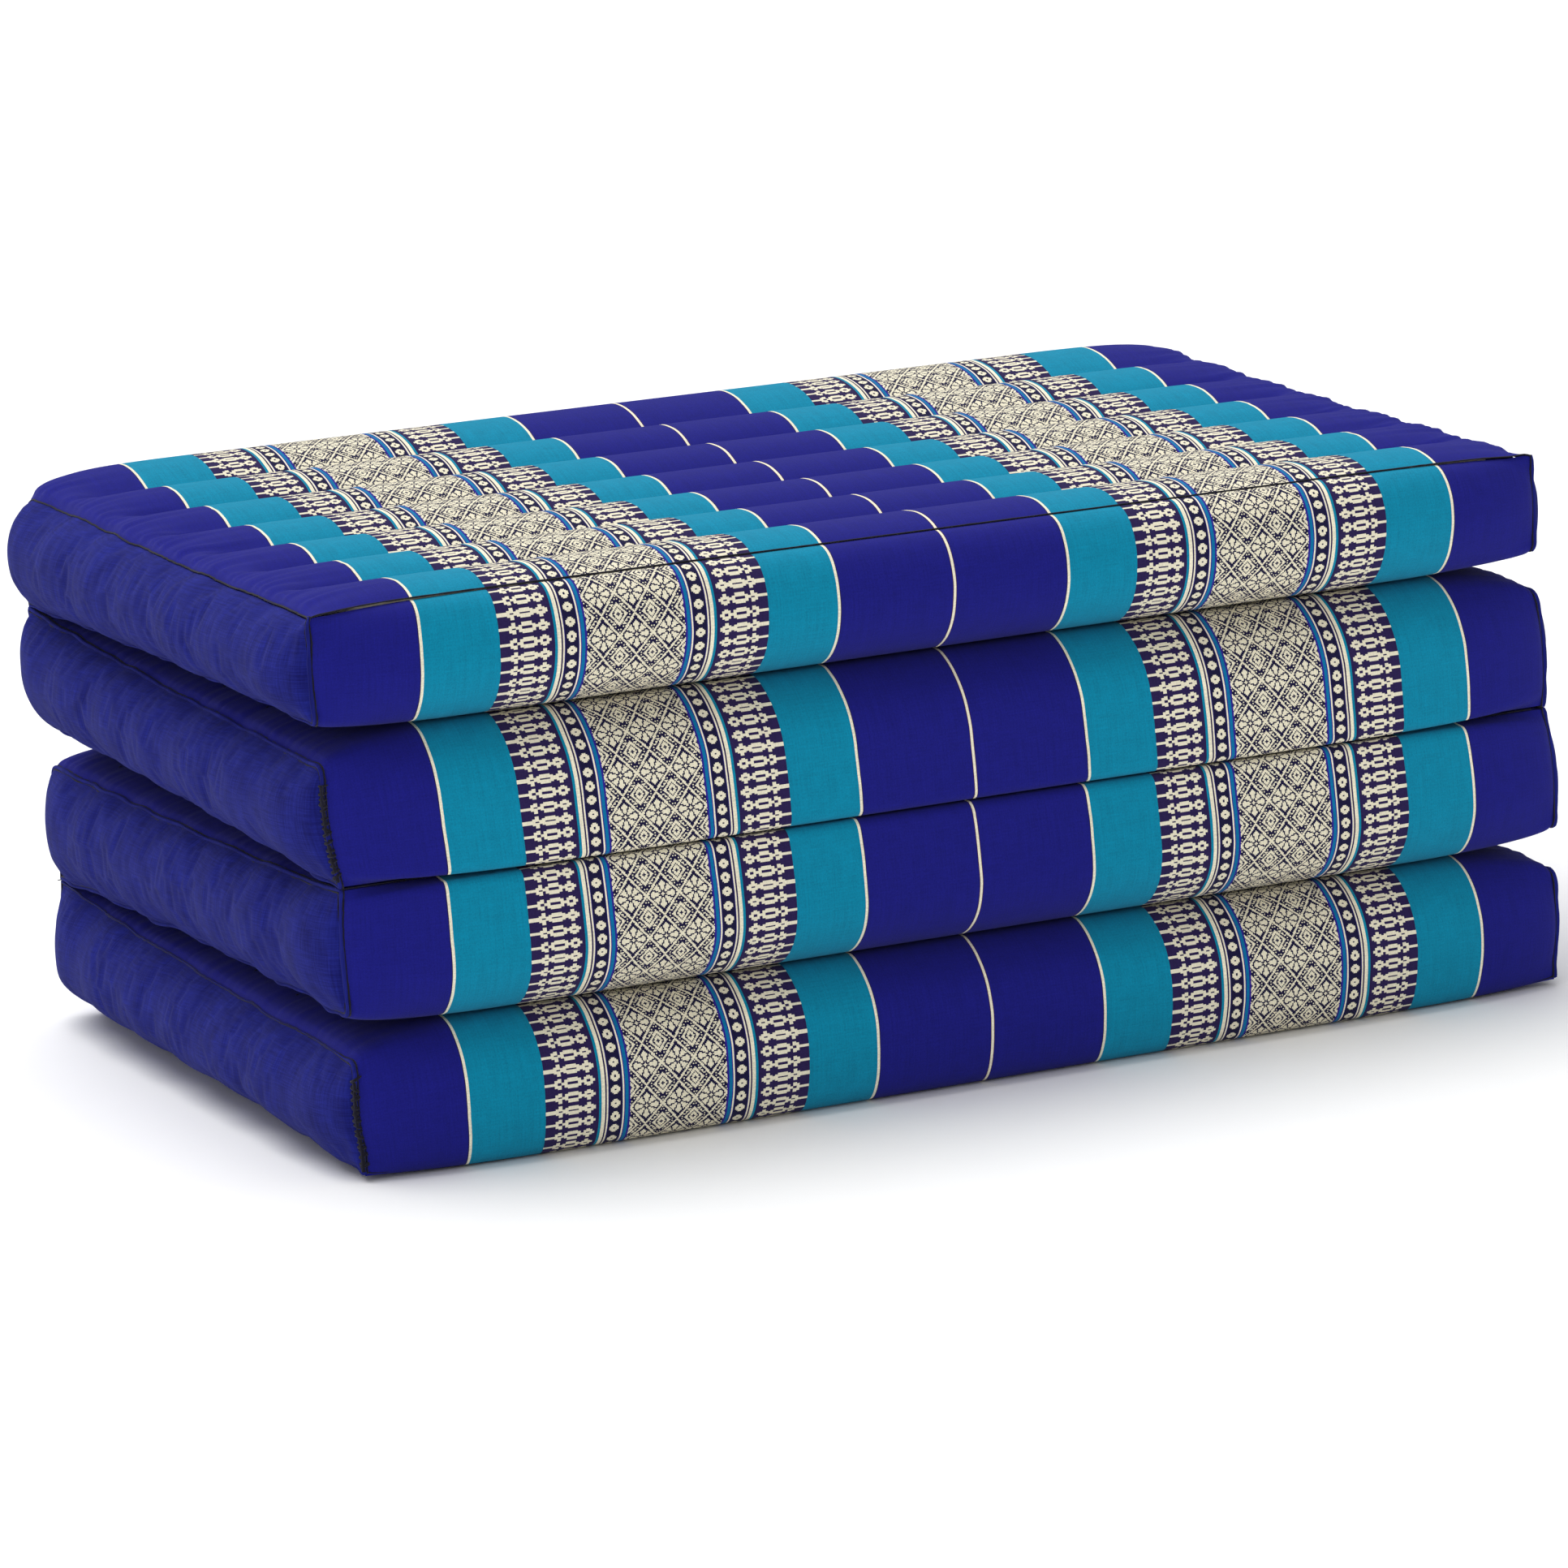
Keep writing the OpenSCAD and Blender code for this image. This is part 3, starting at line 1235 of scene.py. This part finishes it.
@dataclass
class Panel:
    """One stuffed panel: two sheets, two gussets, rolls, baffles, seams and stitching."""

    sizes: StackSizes
    plan: PanelPlan
    mesher: Mesher
    front_joint: str
    back_joint: str
    grids: dict[SheetSide, Grid] = field(default_factory=dict)
    fine: dict[SheetSide, Grid] = field(default_factory=dict)

    def build(self) -> None:
        """Builds and dresses every piece of the panel."""
        self._shape_sheets()
        for side in SheetSide:
            self._build_sheet(side)
        for hand in (-1, 1):
            self._build_gusset(hand)
        self._build_edge_seams()
        self._build_stitching()
        for channel in range(self.sizes.channels):
            self._build_roll(channel)
        for wall in range(1, self.sizes.channels):
            self._build_baffle(wall)

    def _turn(self, side: SheetSide, grid: Grid) -> Grid:
        """Turns a sheet from its own frame to the panel's.

        Args:
            side: Which sheet.
            grid: Its points.

        Returns:
            The points in the panel's frame.
        """
        if side is SheetSide.UNDER:
            return grid
        turned = grid.copy()
        turned[..., 1] *= -1
        turned[..., 2] = self.sizes.height - turned[..., 2]
        return turned

    def place(self, grid: Grid) -> Grid:
        """Places points of the panel's frame in the stack.

        Args:
            grid: Points in millimetres.

        Returns:
            The points in the row frame, in metres.
        """
        placed = self._drawn(grid)
        if self.plan.flipped:
            placed[..., 2] = self.sizes.height - placed[..., 2]
        placed[..., 2] += self.plan.level * self.sizes.pitch
        placed[..., 0] += self.sizes.skew(placed[..., 2])
        return placed * METRES

    def _drawn(self, grid: Grid) -> Grid:
        """Bows the upright front seams out, and draws the free corners and the lowest edges in.

        Args:
            grid: Points in the panel's frame.

        Returns:
            The moved points.
        """
        sizes = self.sizes
        moved = grid.copy()
        x = grid[..., 0]
        across = np.clip(np.abs(x) / sizes.half_width, 0, 1) ** 6
        depth = grid[..., 1] / sizes.plane
        rise = np.clip(2 * grid[..., 2] / sizes.height - 1, -1, 1)
        front = smooth(0.7, 1.0, -depth)
        wrapped_fall = 1.0 if self.plan.flipped else 0.4
        out = self.plan.bow * front * (1 - np.where(rise < 0, wrapped_fall, 1.0) * rise**2)
        out = out - self.plan.free_draw * front * smooth(0.0, 1.0, rise)
        low = smooth(0.2, 1.0, rise)
        out = out - self.plan.floor_draw * smooth(-0.95, -0.4, depth) * low
        moved[..., 2] -= self.plan.floor_lift * low * across**2
        moved[..., 0] = x + np.sign(x) * out * across
        return moved

    def _middle(self) -> Grid:
        """Gives the middle of the panel in the row frame, in metres."""
        return self.place(np.array([0.0, 0.0, self.sizes.height / 2]))

    def _shape_sheets(self) -> None:
        """Works out both sheets in the panel's frame, with the gathers along the side seams."""
        for index, side in enumerate(SheetSide):
            grid = self._turn(side, SheetShape(self.sizes, self.plan.sheets[side]).grid())
            self.grids[side] = self._gather(grid, 10 * self.plan.level + index)

    def _gather(self, grid: Grid, seed: int) -> Grid:
        """Puckers a sheet along the side seams, and makes the seams themselves uneven.

        Args:
            grid: The sheet in the panel's frame.
            seed: What makes this sheet's gathers differ from the others'.

        Returns:
            The puckered sheet.
        """
        sizes = self.sizes
        rows = sizes.face_rows + 1
        x, y = grid[..., 0], grid[..., 1]
        hand = np.sign(x)
        inward = sizes.half_width - np.abs(x)
        line = y + 1300.0 * (hand + 1) + 700.0 * seed
        slack = 0.45 + 0.55 * np.abs(Ripple(seed, 85.0)(line))
        warped = line + 5.0 * Ripple(seed + 50, 31.0)(line)
        fade = (1 - np.exp(-inward / 2.5)) * np.exp(-inward / 23.0)
        corner = np.clip((sizes.plane - np.abs(y)) / 20.0, 0, 1)
        outward = np.sign(grid[rows // 2, grid.shape[1] // 2, 2] - sizes.height / 2)
        lift = self.plan.gathers * slack * pleats(warped, 11.5, 19.0) * fade * corner
        seam_fade = np.exp(-inward / 22.0) * corner
        wave = np.cos(y * (2 * math.pi / sizes.channel))
        sideways = hand * seam_fade * (0.6 * wave + 1.1 * Ripple(seed + 90, 26.0)(line))
        upward = seam_fade * (0.5 * wave + 0.9 * Ripple(seed + 70, 22.0)(line))
        puckered = grid + self._ears(grid)
        puckered[:rows, :, 0] += sideways[:rows]
        puckered[:rows, :, 2] += (outward * (lift + upward))[:rows]
        return puckered

    def _build_sheet(self, side: SheetSide) -> None:
        """Builds a sheet as its long face and its end.

        Args:
            side: Which sheet.
        """
        sizes = self.sizes
        flat = refine(self.grids[side])
        fine = self.place(flat)
        self.fine[side] = fine
        order, normals = facing(fine, self._middle())
        places = np.zeros_like(fine)
        stretch = StripedCloth.half_width / sizes.half_width
        places[..., 0] = flat[..., 0] * stretch + self.plan.shift_across
        length = travelled(fine[:, fine.shape[1] // 2]) / METRES
        places[..., 1] = length[:, None] + self.plan.shift_along
        cut = 2 * sizes.face_rows
        node = f"{self.plan.body}_{side.value}"
        for part, rows, depth in (("face", slice(0, cut + 1), 0.50), ("end", slice(cut, None), 0.10)):
            points = fine[rows]
            faces = quads(*points.shape[:2])[:, ::order]
            tag = Tag(f"{node}_{part}", StripedCloth.slot, self.plan.body, node)
            piece = self.mesher.piece(tag, points, faces, places[rows], normals[rows])
            if part == "end":
                self._flatten(piece)

    def _flatten(self, piece: bpy.types.Object) -> None:
        """Gives the end of a sheet a mesh of its own.

        Args:
            piece: The end of a sheet.
        """
        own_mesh(piece)

    def _build_gusset(self, hand: int) -> None:
        """Builds the plain cloth on one side.

        Args:
            hand: -1 for the left side, 1 for the right.
        """
        sizes = self.sizes
        column = EDGE_COLUMNS[hand]
        under = self.grids[SheetSide.UNDER][:, column]
        sleeping = self.grids[SheetSide.SLEEPING][:, column]
        cut = sizes.face_rows
        top, back = under[: cut + 1], under[cut:][::-1]
        bottom, front = sleeping[: cut + 1][::-1], sleeping[cut:]
        along = np.linspace(0, 1, cut + 1)[:, None, None]
        up = np.linspace(0, 1, sizes.end_rows + 1)[None, :, None]
        grid = (1 - up) * bottom[:, None] + up * top[:, None]
        grid = grid + (1 - along) * front[None] + along * back[None]
        low_corners = (1 - up) * ((1 - along) * bottom[0] + along * bottom[-1])
        grid = grid - low_corners - up * ((1 - along) * top[0] + along * top[-1])
        rise = (1 - np.abs(2 * up - 1) ** 2.2) ** 0.75 * (1 - np.abs(2 * along - 1) ** 7) ** 0.6
        bulge = self.plan.gusset_bulges[EDGE_COLUMNS[hand]]
        grid[..., 0] += hand * (bulge * rise[..., 0] + self._gusset_folds(grid, along, up, hand))
        sewn = np.ones(grid.shape[:2], dtype=bool)
        sewn[1:-1, 1:-1] = False
        grid = ClothSettler().settle(grid, np.array([0.0, 0.0, sizes.height / 2]), sewn)
        fine = self.place(refine(grid))
        order, normals = facing(fine, self._middle())
        places = np.zeros_like(fine)
        places[..., :2] = fine[..., 1:] / METRES
        faces = quads(*fine.shape[:2])[:, ::order]
        node = f"{self.plan.body}_{HAND_NAMES[hand]}_gusset"
        tag = Tag(f"{node}_cloth", PlainCloth.slot, self.plan.body, node)
        piece = self.mesher.piece(tag, fine, faces, places, normals)

    def _ears(self, grid: Grid) -> Grid:
        """Pulls the sewn corners of a free end out into small points.

        Args:
            grid: Points in the panel's frame.

        Returns:
            How far each point moves.
        """
        sheet = self.plan.sheets[SheetSide.UNDER]
        corner = np.array([self.sizes.half_width, -self.sizes.plane, sheet.start_side - sheet.lean])
        hand = np.sign(grid[..., :1])
        away = np.abs(grid * np.concatenate([hand, hand**2, hand**2], axis=-1) - corner).sum(axis=-1)
        pull = self.plan.ear * np.exp(-((away / 9.0) ** 2))
        return np.stack([np.sign(grid[..., 0]) * pull, np.zeros_like(pull), pull * 0.6], axis=-1)

    def _gusset_folds(self, grid: Grid, along: Grid, up: Grid, hand: int) -> Grid:
        """Gives how far the gathers and the ends of the rolls push a gusset out.

        Args:
            grid: The gusset's points in the panel's frame.
            along: Share of the way from the front to the back.
            up: Share of the way from the bottom to the top.
            hand: -1 for the left side, 1 for the right.

        Returns:
            The push at each point, in millimetres.
        """
        sizes = self.sizes
        share, rise = along[..., 0], up[..., 0]
        down = 1 - rise
        seed = 200 + 10 * self.plan.level + hand
        line = grid[..., 1] + 16.0 * down**2 + 1300.0 * hand + 700.0 * self.plan.level
        slack = 0.35 + 0.65 * np.abs(Ripple(seed, 70.0)(line))
        warped = line + 6.0 * Ripple(seed + 1, 29.0)(line + 9 * down)
        folds = pleats(warped, 9.5, 16.0)
        reach = 0.6 * np.exp(-down / 0.3) + 0.5 * np.exp(-rise / 0.25)
        edge = 1 - np.abs(2 * rise - 1) ** 6
        ends = 1 - np.abs(2 * share - 1) ** 10
        rolls = np.cos(grid[..., 1] * (2 * math.pi / sizes.channel)) * 0.4
        dents = 0.9 * Ripple(seed + 2, 40.0)(line + 20 * rise)
        return edge * ends * (self.plan.gathers * slack * folds * reach + rolls + dents)

    def _ring(self, hand: int) -> tuple[Grid, Grid, Grid]:
        """Gives the closed seam line round one side of the panel.

        Args:
            hand: -1 for the left side, 1 for the right.

        Returns:
            Its points, its outward directions in the plane of the side, and its directions.
        """
        edges = [self.fine[side][:-1, EDGE_COLUMNS[hand]] for side in SheetSide]
        path = np.concatenate(edges)
        along = unit(np.roll(path, -1, axis=0) - np.roll(path, 1, axis=0))
        out = unit(np.cross(along, RIGHTWARD))
        if np.sum(out * (path - self._middle())) < 0:
            out = -out
        return path, out, along

    def _build_edge_seams(self) -> None:
        """Builds the folded welts and the dark stitch lines round both sides."""
        plan = self.plan
        node = f"{plan.body}_edge_seams"
        for hand in (-1, 1):
            label = f"{plan.body}_{HAND_NAMES[hand]}"
            path, out, along = self._ring(hand)
            lean = unit(out * 0.75 + hand * 0.75 * RIGHTWARD)
            side = np.cross(along, lean)
            place = np.arange(len(path)) * 4.0
            uneven = 1 + 0.35 * Ripple(300 + plan.level, 22.0)(place)
            shown = self._welt_share(len(path))
            tall = METRES * (0.35 + plan.welt * 1.5 * shown * uneven)
            wide = METRES * (0.35 + 0.95 * shown * uneven)
            points, faces = tube(path + lean * 0.2 * METRES, side, lean, wide, tall, 8, closed=True)
            tag = Tag(f"{label}_seam_welt", PlainCloth.slot, plan.body, node)
            self.mesher.swept(tag, points, faces)
            wander = 0.25 * Ripple(310 + plan.level, 7.0)(place * 1.7)
            rise = METRES * (0.45 - 0.6 * shown)
            thin = METRES * (0.38 + 0.16 * shown)
            lines = []
            for shift in (1.6, -1.6):
                offset = side * (METRES * (shift * shown + wander))[:, None] + lean * rise[:, None]
                lines.append(tube(path + offset, side, lean, thin, thin, 6, closed=True))
            if hand < 0 and plan.hand_sewn:
                lines.extend(self._hand_stitches())
            tag = Tag(f"{label}_seam_thread", SeamThread.slot, plan.body, node)
            self.mesher.swept(tag, *self.mesher.joined(lines))
        if plan.level in (0, 3):
            self._build_end_seam(node)

    def _hand_stitches(self) -> list[tuple[Grid, np.ndarray]]:
        """Gives the coarse stitches that close the front left corner by hand.

        Returns:
            The points and the faces of every stitch.
        """
        corner = self.fine[SheetSide.SLEEPING][2 * self.sizes.face_rows + 2 : -2, 0]
        draw = np.random.default_rng(600 + self.plan.level)
        count = 17
        sections = 6
        stitches = []
        for index in range(count):
            share = (index + 0.5 + draw.uniform(-0.3, 0.3)) / count
            middle = corner[int(share * (len(corner) - 1))]
            reach, slope = draw.uniform(1.6, 4.2, 2), draw.uniform(-3.0, 3.0)
            thick = METRES * draw.uniform(0.7, 1.25)
            bend = np.array([
                [-0.5, reach[0], -slope],
                [-2.2, 0.2, -slope * 0.3],
                [-0.6, -1.9, slope * 0.3],
                [reach[1], -0.8, slope],
            ])
            path = middle + bend * METRES
            along = unit(np.gradient(path, axis=0))
            side = unit(np.cross(along, [0.6, 0.6, 0.5]))
            wide = thick * np.array([0.4, 1.0, 1.0, 0.4])
            stitches.append(tube(path, side, np.cross(along, side), wide, wide, sections))
        side = np.tile(unit(RIGHTWARD - BACKWARD), (len(corner), 1))
        knots = METRES * (1.15 + 0.6 * Ripple(610 + self.plan.level, 1.5)(np.arange(len(corner))))
        path = corner + np.array([-1.0, -0.9, 0.0]) * METRES
        stitches.append(tube(path, side, np.cross(side, UPWARD), knots, knots, sections))
        return stitches

    def _welt_share(self, count: int) -> Grid:
        """Gives how far the folded welt shows along the seam ring.

        Args:
            count: How many points the ring has.

        Returns:
            0 where only the stitch line shows, up to 1 where the whole welt stands out.
        """
        share = np.ones(count)
        hidden = 2 * self.sizes.face_rows - 8
        if self.plan.level == 3:
            share[:hidden] = 0.12
        if self.plan.level == 0:
            share[count // 2 : count // 2 + hidden] = 0.2
        kernel = np.ones(9) / 9
        return np.convolve(np.concatenate([share[-4:], share, share[:4]]), kernel, mode="valid")

    def _build_end_seam(self, node: str) -> None:
        """Builds the seam across the free end of the mattress.

        Args:
            node: The CAD node that it stands for.
        """
        path = self.fine[SheetSide.UNDER][0]
        up = np.tile(-UPWARD if self.plan.flipped else UPWARD, (len(path), 1))
        side = np.tile(-BACKWARD, (len(path), 1))
        place = path[:, 0] / METRES
        tall = METRES * (0.45 + 0.1 * Ripple(400, 4.0)(place))
        wide = METRES * (0.65 + 0.2 * Ripple(401, 6.0)(place))
        tag = Tag(f"{self.plan.body}_end_seam", SeamThread.slot, self.plan.body, node)
        self.mesher.swept(tag, *tube(path + side * METRES * 0.4, side, up, wide, tall, 8))

    def _build_stitching(self) -> None:
        """Builds the stitches that hold both sheets down along the valleys."""
        sizes = self.sizes
        pitch, half, margin, sections = 5.0, 1.75, 20.0, 5
        starts = np.arange(-sizes.half_width + margin, sizes.half_width - margin, pitch)
        lines = []
        for side in SheetSide:
            fine = self.fine[side]
            out = np.sign(fine[sizes.face_rows, 0, 2] - self._middle()[2])
            for wall in range(1, sizes.channels):
                row = fine[2 * wall * sizes.rows_per_channel]
                centre = (row[0, 0] + row[-1, 0]) / 2
                for shift, rise in ((-half, -0.3), (0.0, 0.3), (half, -0.3)):
                    x = centre + (starts + shift) * METRES
                    y, z = (np.interp(x, row[:, 0], row[:, axis]) for axis in (1, 2))
                    lines.append(np.stack([x, y, z + out * METRES * rise], axis=1))
        paths = np.array(lines).reshape(-1, 3, len(starts), 3).transpose(0, 2, 1, 3).reshape(-1, 3, 3)
        angle = np.arange(sections) * 2 * math.pi / sections
        ring = np.stack([np.zeros(sections), np.cos(angle), np.sin(angle)], axis=1) * METRES
        radii = np.array([0.2, 0.45, 0.2])
        points = paths[:, :, None, :] + radii[None, :, None, None] * ring[None, None]
        first = (np.arange(len(paths)) * 3 * sections)[:, None, None]
        faces = (quads(3, sections, closed=True)[None] + first).reshape(-1, 4)
        node = f"{self.plan.body}_channel_stitching"
        self.mesher.swept(Tag(f"{node}_threads", SeamThread.slot, self.plan.body, node), points, faces)

    def _build_roll(self, channel: int) -> None:
        """Builds the roll of kapok in one channel.

        Args:
            channel: Which channel, from 0 at the front.
        """
        sizes = self.sizes
        per = sizes.rows_per_channel
        under = self.grids[SheetSide.UNDER]
        sleeping = self.grids[SheetSide.SLEEPING][::-1]
        low = channel * per
        top = under[low : low + per + 1]
        start = len(sleeping) - 1 - sizes.face_rows + low
        bottom = sleeping[start : start + per + 1]
        section = np.concatenate([top, bottom[::-1]])[:, 3:-3]
        middle = section.mean(axis=0, keepdims=True)
        around = section - middle
        reach = np.linalg.norm(around[..., 1:], axis=2, keepdims=True)
        clearance, shortened = 2.4, 0.985
        section = middle + around * (1 - clearance / np.maximum(reach, 5.0))
        section[..., 0] *= shortened
        edge = sizes.plane - 1.0
        section[..., 1] = np.clip(section[..., 1], -edge, edge)
        rounded = np.ones((section.shape[1], 3))
        rounded[[0, -1], 1:] = 0.72
        rounded[[1, -2], 1:] = 0.9
        section = middle + (section - middle) * rounded
        points = self.place(np.transpose(section, (1, 0, 2)))
        steps, count = points.shape[:2]
        faces = quads(steps, count, closed=True).tolist()
        faces.append(list(range(count))[::-1])
        faces.append(list(range((steps - 1) * count, steps * count)))
        node = f"{self.plan.body}_roll_{channel + 1}"
        piece = self.mesher.swept(Tag(f"{node}_kapok", Kapok.slot, self.plan.body, node), points, faces)

    def _build_baffle(self, wall: int) -> None:
        """Builds one cotton wall between two channels.

        Args:
            wall: Which wall, from 1 at the front.
        """
        sizes = self.sizes
        row = wall * sizes.rows_per_channel
        top = self.grids[SheetSide.UNDER][row, 4:-4]
        bottom = self.grids[SheetSide.SLEEPING][sizes.face_rows - row, 4:-4]
        half_thickness = 0.4
        steps = np.linspace(0.03, 0.97, 9)[:, None, None]
        sway = 0.5 * np.sin(top[:, 0] / 37.0 + wall)[None] * np.sin(steps[..., 0] * math.pi)
        middle = bottom[None] * (1 - steps) + top[None] * steps
        middle[..., 1] += sway
        front, back = middle - half_thickness * BACKWARD, middle + half_thickness * BACKWARD
        loop = np.concatenate([front, back[::-1]])
        points = self.place(np.transpose(loop, (1, 0, 2)))
        rows, count = points.shape[:2]
        faces = quads(rows, count, closed=True).tolist()
        for start in (0, (rows - 1) * count):
            end = start + count - 1
            faces.extend([start + i, start + i + 1, end - 1 - i, end - i] for i in range(count // 2 - 1))
        body = self.plan.body
        tag = Tag(f"{body}_baffle_{wall}", BaffleCotton.slot, body, f"{body}_baffles")
        piece = self.mesher.swept(tag, points, faces)


@dataclass
class FoldSeam:
    """The line of stitches that joins two panels and lets them fold."""

    name: str
    body: str
    axis_y: float
    axis_z: float
    half_width: float
    mesher: Mesher

    def build(self) -> None:
        """Builds the cord of the seam and the whipped stitches round it."""
        x = np.linspace(-self.half_width, self.half_width, 161) * METRES
        place = x / METRES
        out = math.copysign(1.0, self.axis_y)
        y = METRES * (self.axis_y + 0.1 * Ripple(500, 15.0)(place))
        z = np.full_like(x, self.axis_z * METRES)
        path = np.stack([x, y, z], axis=1)
        side, up = (np.tile(way, (len(x), 1)) for way in (BACKWARD, UPWARD))
        wide = METRES * (0.4 + 0.08 * Ripple(501, 5.0)(place))
        lines = [tube(path, side, up, wide, wide * 0.8, 8)]
        angle = np.linspace(-0.55 * math.pi, 0.55 * math.pi, 9)
        radius = 0.5 * METRES
        for start in np.arange(-self.half_width + 4, self.half_width - 4, 6.0):
            loop = np.stack([
                METRES * (start + 1.5 * angle / math.pi),
                METRES * self.axis_y + out * radius * np.cos(angle),
                METRES * self.axis_z + radius * np.sin(angle),
            ], axis=1)
            away = np.stack([np.zeros(9), out * np.cos(angle), np.sin(angle)], axis=1)
            level = np.tile(RIGHTWARD, (9, 1))
            thin = np.full(9, 0.22 * METRES)
            lines.append(tube(loop, level, away, thin, thin, 5))
        tag = Tag(f"{self.name}_threads", SeamThread.slot, self.body, self.name)
        self.mesher.swept(tag, *self.mesher.joined(lines))


@dataclass
class Mattress:
    """The whole stack of panels."""

    sizes: StackSizes
    mesher: Mesher

    def plans(self) -> list[PanelPlan]:
        """Describes the four panels.

        Returns:
            Their plans, from the floor up.
        """
        height = self.sizes.height

        def pressed(radius: float, droop: float, start: float = 0.5, tuck: float = 0.12) -> SheetPlan:
            """Describes a sheet whose face lies against a neighbour or the floor."""
            return SheetPlan(
                crest=height + 2.5, valley=height - 8, start_level=height, end_level=0.0,
                start_side=height - start, wrap_side=height - droop, end_side=0.5,
                wrap_radius=radius, limit=height, tuck=tuck,
            )

        under, sleeping = SheetSide.UNDER, SheetSide.SLEEPING
        seam, seam_side, lean = 76.0, 70.0, 2.5
        free = SheetPlan(
            crest=83.0, valley=71.0, start_level=seam, end_level=0.0, start_side=seam_side, wrap_side=68.0,
            end_side=0.5, wrap_radius=26.0, limit=200.0, dip=5.5, tilt=3.5, lean=lean, edge_power=16.0,
            valley_fade=34.0,
        )
        below_free = SheetPlan(
            crest=height + 2.5, valley=height - 8, start_level=height, end_level=height - seam + lean,
            start_side=height - 0.5, wrap_side=height - 9.0, end_side=height - seam_side + lean,
            wrap_radius=4.0, limit=height, end_tilt=3.5, tuck=1.0,
        )
        return [
            PanelPlan(
                "bottom", 0, {under: pressed(12, 6, 3), sleeping: pressed(7, 15, 0.5, 0.9)}, (22, 13),
                gathers=0.9, welt=1.0, shift_across=-1.0, shift_along=3.0, ear=2.0, hand_sewn=True,
                bow=2.0, free_draw=3.0, floor_draw=10.0, floor_lift=4.0,
            ),
            PanelPlan(
                "lower", 1, {under: pressed(10, 13), sleeping: pressed(6, 11)}, (22, 15),
                gathers=0.8, welt=0.9, shift_across=1.5, shift_along=5.0,
            ),
            PanelPlan(
                "upper", 2, {under: pressed(48, 14), sleeping: pressed(7, 15)}, (26, 15),
                gathers=0.9, welt=1.0, shift_across=-1.5, shift_along=1.0, hand_sewn=True,
            ),
            PanelPlan(
                "top", 3, {under: free, sleeping: below_free}, (27, 20),
                gathers=1.5, welt=0.8, shift_across=1.0, shift_along=0.0, ear=3.5, bow=4.5,
                free_draw=4.0,
            ),
        ]

    def build(self) -> None:
        """Builds every panel."""
        joints = ["lower_back_fold", "front_fold", "upper_back_fold"]
        plans = self.plans()
        for plan in plans:
            back = joints[0] if plan.level < 2 else joints[2]
            Panel(self.sizes, plan, self.mesher, joints[1], back).build()
        sizes = self.sizes
        gap = sizes.pitch - sizes.height
        for level, joint in enumerate(joints):
            side = 1 if level % 2 == 0 else -1
            height = (level + 1) * sizes.pitch - gap / 2
            body = plans[level].body
            place = (side * sizes.fold, height)
            FoldSeam(f"{joint}_seam", body, *place, sizes.half_width - 4, self.mesher).build()


# ---------------------------------------------------------------- the studio


@dataclass
class Studio:
    """The floor, the light and the camera."""

    bearing: float = -24.02
    height: float = 12.42
    tilt: float = -3.04
    distance: float = 5.473
    aim: float = 0.1396
    lens: float = 201.4

    def build(self) -> None:
        """Sets up everything round the mattress."""
        self._floor()
        self._sun("sky_light", (-0.5, 0.8, 2.4), 60.0, 2.6)
        self._sun("front_light", (-1.4, -2.4, 1.2), 60.0, 0.35)
        self._world()
        self._camera()
        bpy.context.scene.view_settings.view_transform = "Standard"

    def _floor(self) -> None:
        """Lays the pale floor."""
        reach = 12.0
        steps = np.linspace(-reach, reach, 9)
        x, y = np.meshgrid(steps, steps, indexing="ij")
        points = np.stack([x, y, np.full_like(x, -0.0004)], axis=-1)
        mesh = make_mesh("studio_floor", points, quads(9, 9)[:, ::-1], points / METRES)
        mesh.materials.append(StudioFloor().build())
        add_object("studio_floor", mesh)

    @staticmethod
    def _sun(name: str, source: tuple[float, float, float], spread: float, power: float) -> None:
        """Adds one broad soft light.

        Args:
            name: The light's name.
            source: The direction that it comes from.
            spread: How wide its source looks, in degrees.
            power: Its strength.
        """
        data = bpy.data.lights.new(name, "SUN")
        data.angle = math.radians(spread)
        data.energy = power
        lamp = add_object(name, data)
        lamp.rotation_euler = (-Vector(source)).to_track_quat("-Z", "Y").to_euler()

    @staticmethod
    def _world() -> None:
        """Surrounds the scene with even white light."""
        world = bpy.data.worlds.new("studio_world")
        world.use_nodes = True
        back = world.node_tree.nodes["Background"]
        back.inputs["Color"].default_value = (1.0, 1.0, 1.0, 1.0)
        back.inputs["Strength"].default_value = 0.5
        bpy.context.scene.world = world

    def _camera(self) -> None:
        """Aims the camera."""
        turn, rise, roll = (math.radians(angle) for angle in (self.bearing, self.height, self.tilt))
        back = Vector((math.sin(turn) * math.cos(rise), -math.cos(turn) * math.cos(rise), math.sin(rise)))
        right = (-back).cross(Vector((0, 0, 1))).normalized()
        up = right.cross(-back)
        level_right = math.cos(roll) * right + math.sin(roll) * up
        level_up = -math.sin(roll) * right + math.cos(roll) * up
        data = bpy.data.cameras.new("camera")
        data.lens = self.lens
        data.sensor_width = 36.0
        camera = add_object("camera", data)
        axes = Matrix((level_right, level_up, back)).transposed().to_4x4()
        place = Vector((0, 0, self.aim)) + back * self.distance
        camera.matrix_world = Matrix.Translation(place) @ axes
        bpy.context.scene.camera = camera


def main() -> None:
    """Builds the mattress and the studio."""
    logging.basicConfig(level=logging.INFO, format="%(name)s: %(message)s")
    Studio().build()
    mesher = Mesher(Wardrobe())
    Mattress(StackSizes.from_frame(), mesher).build()
    bpy.context.view_layer.update()


if __name__ == "__main__":
    main()
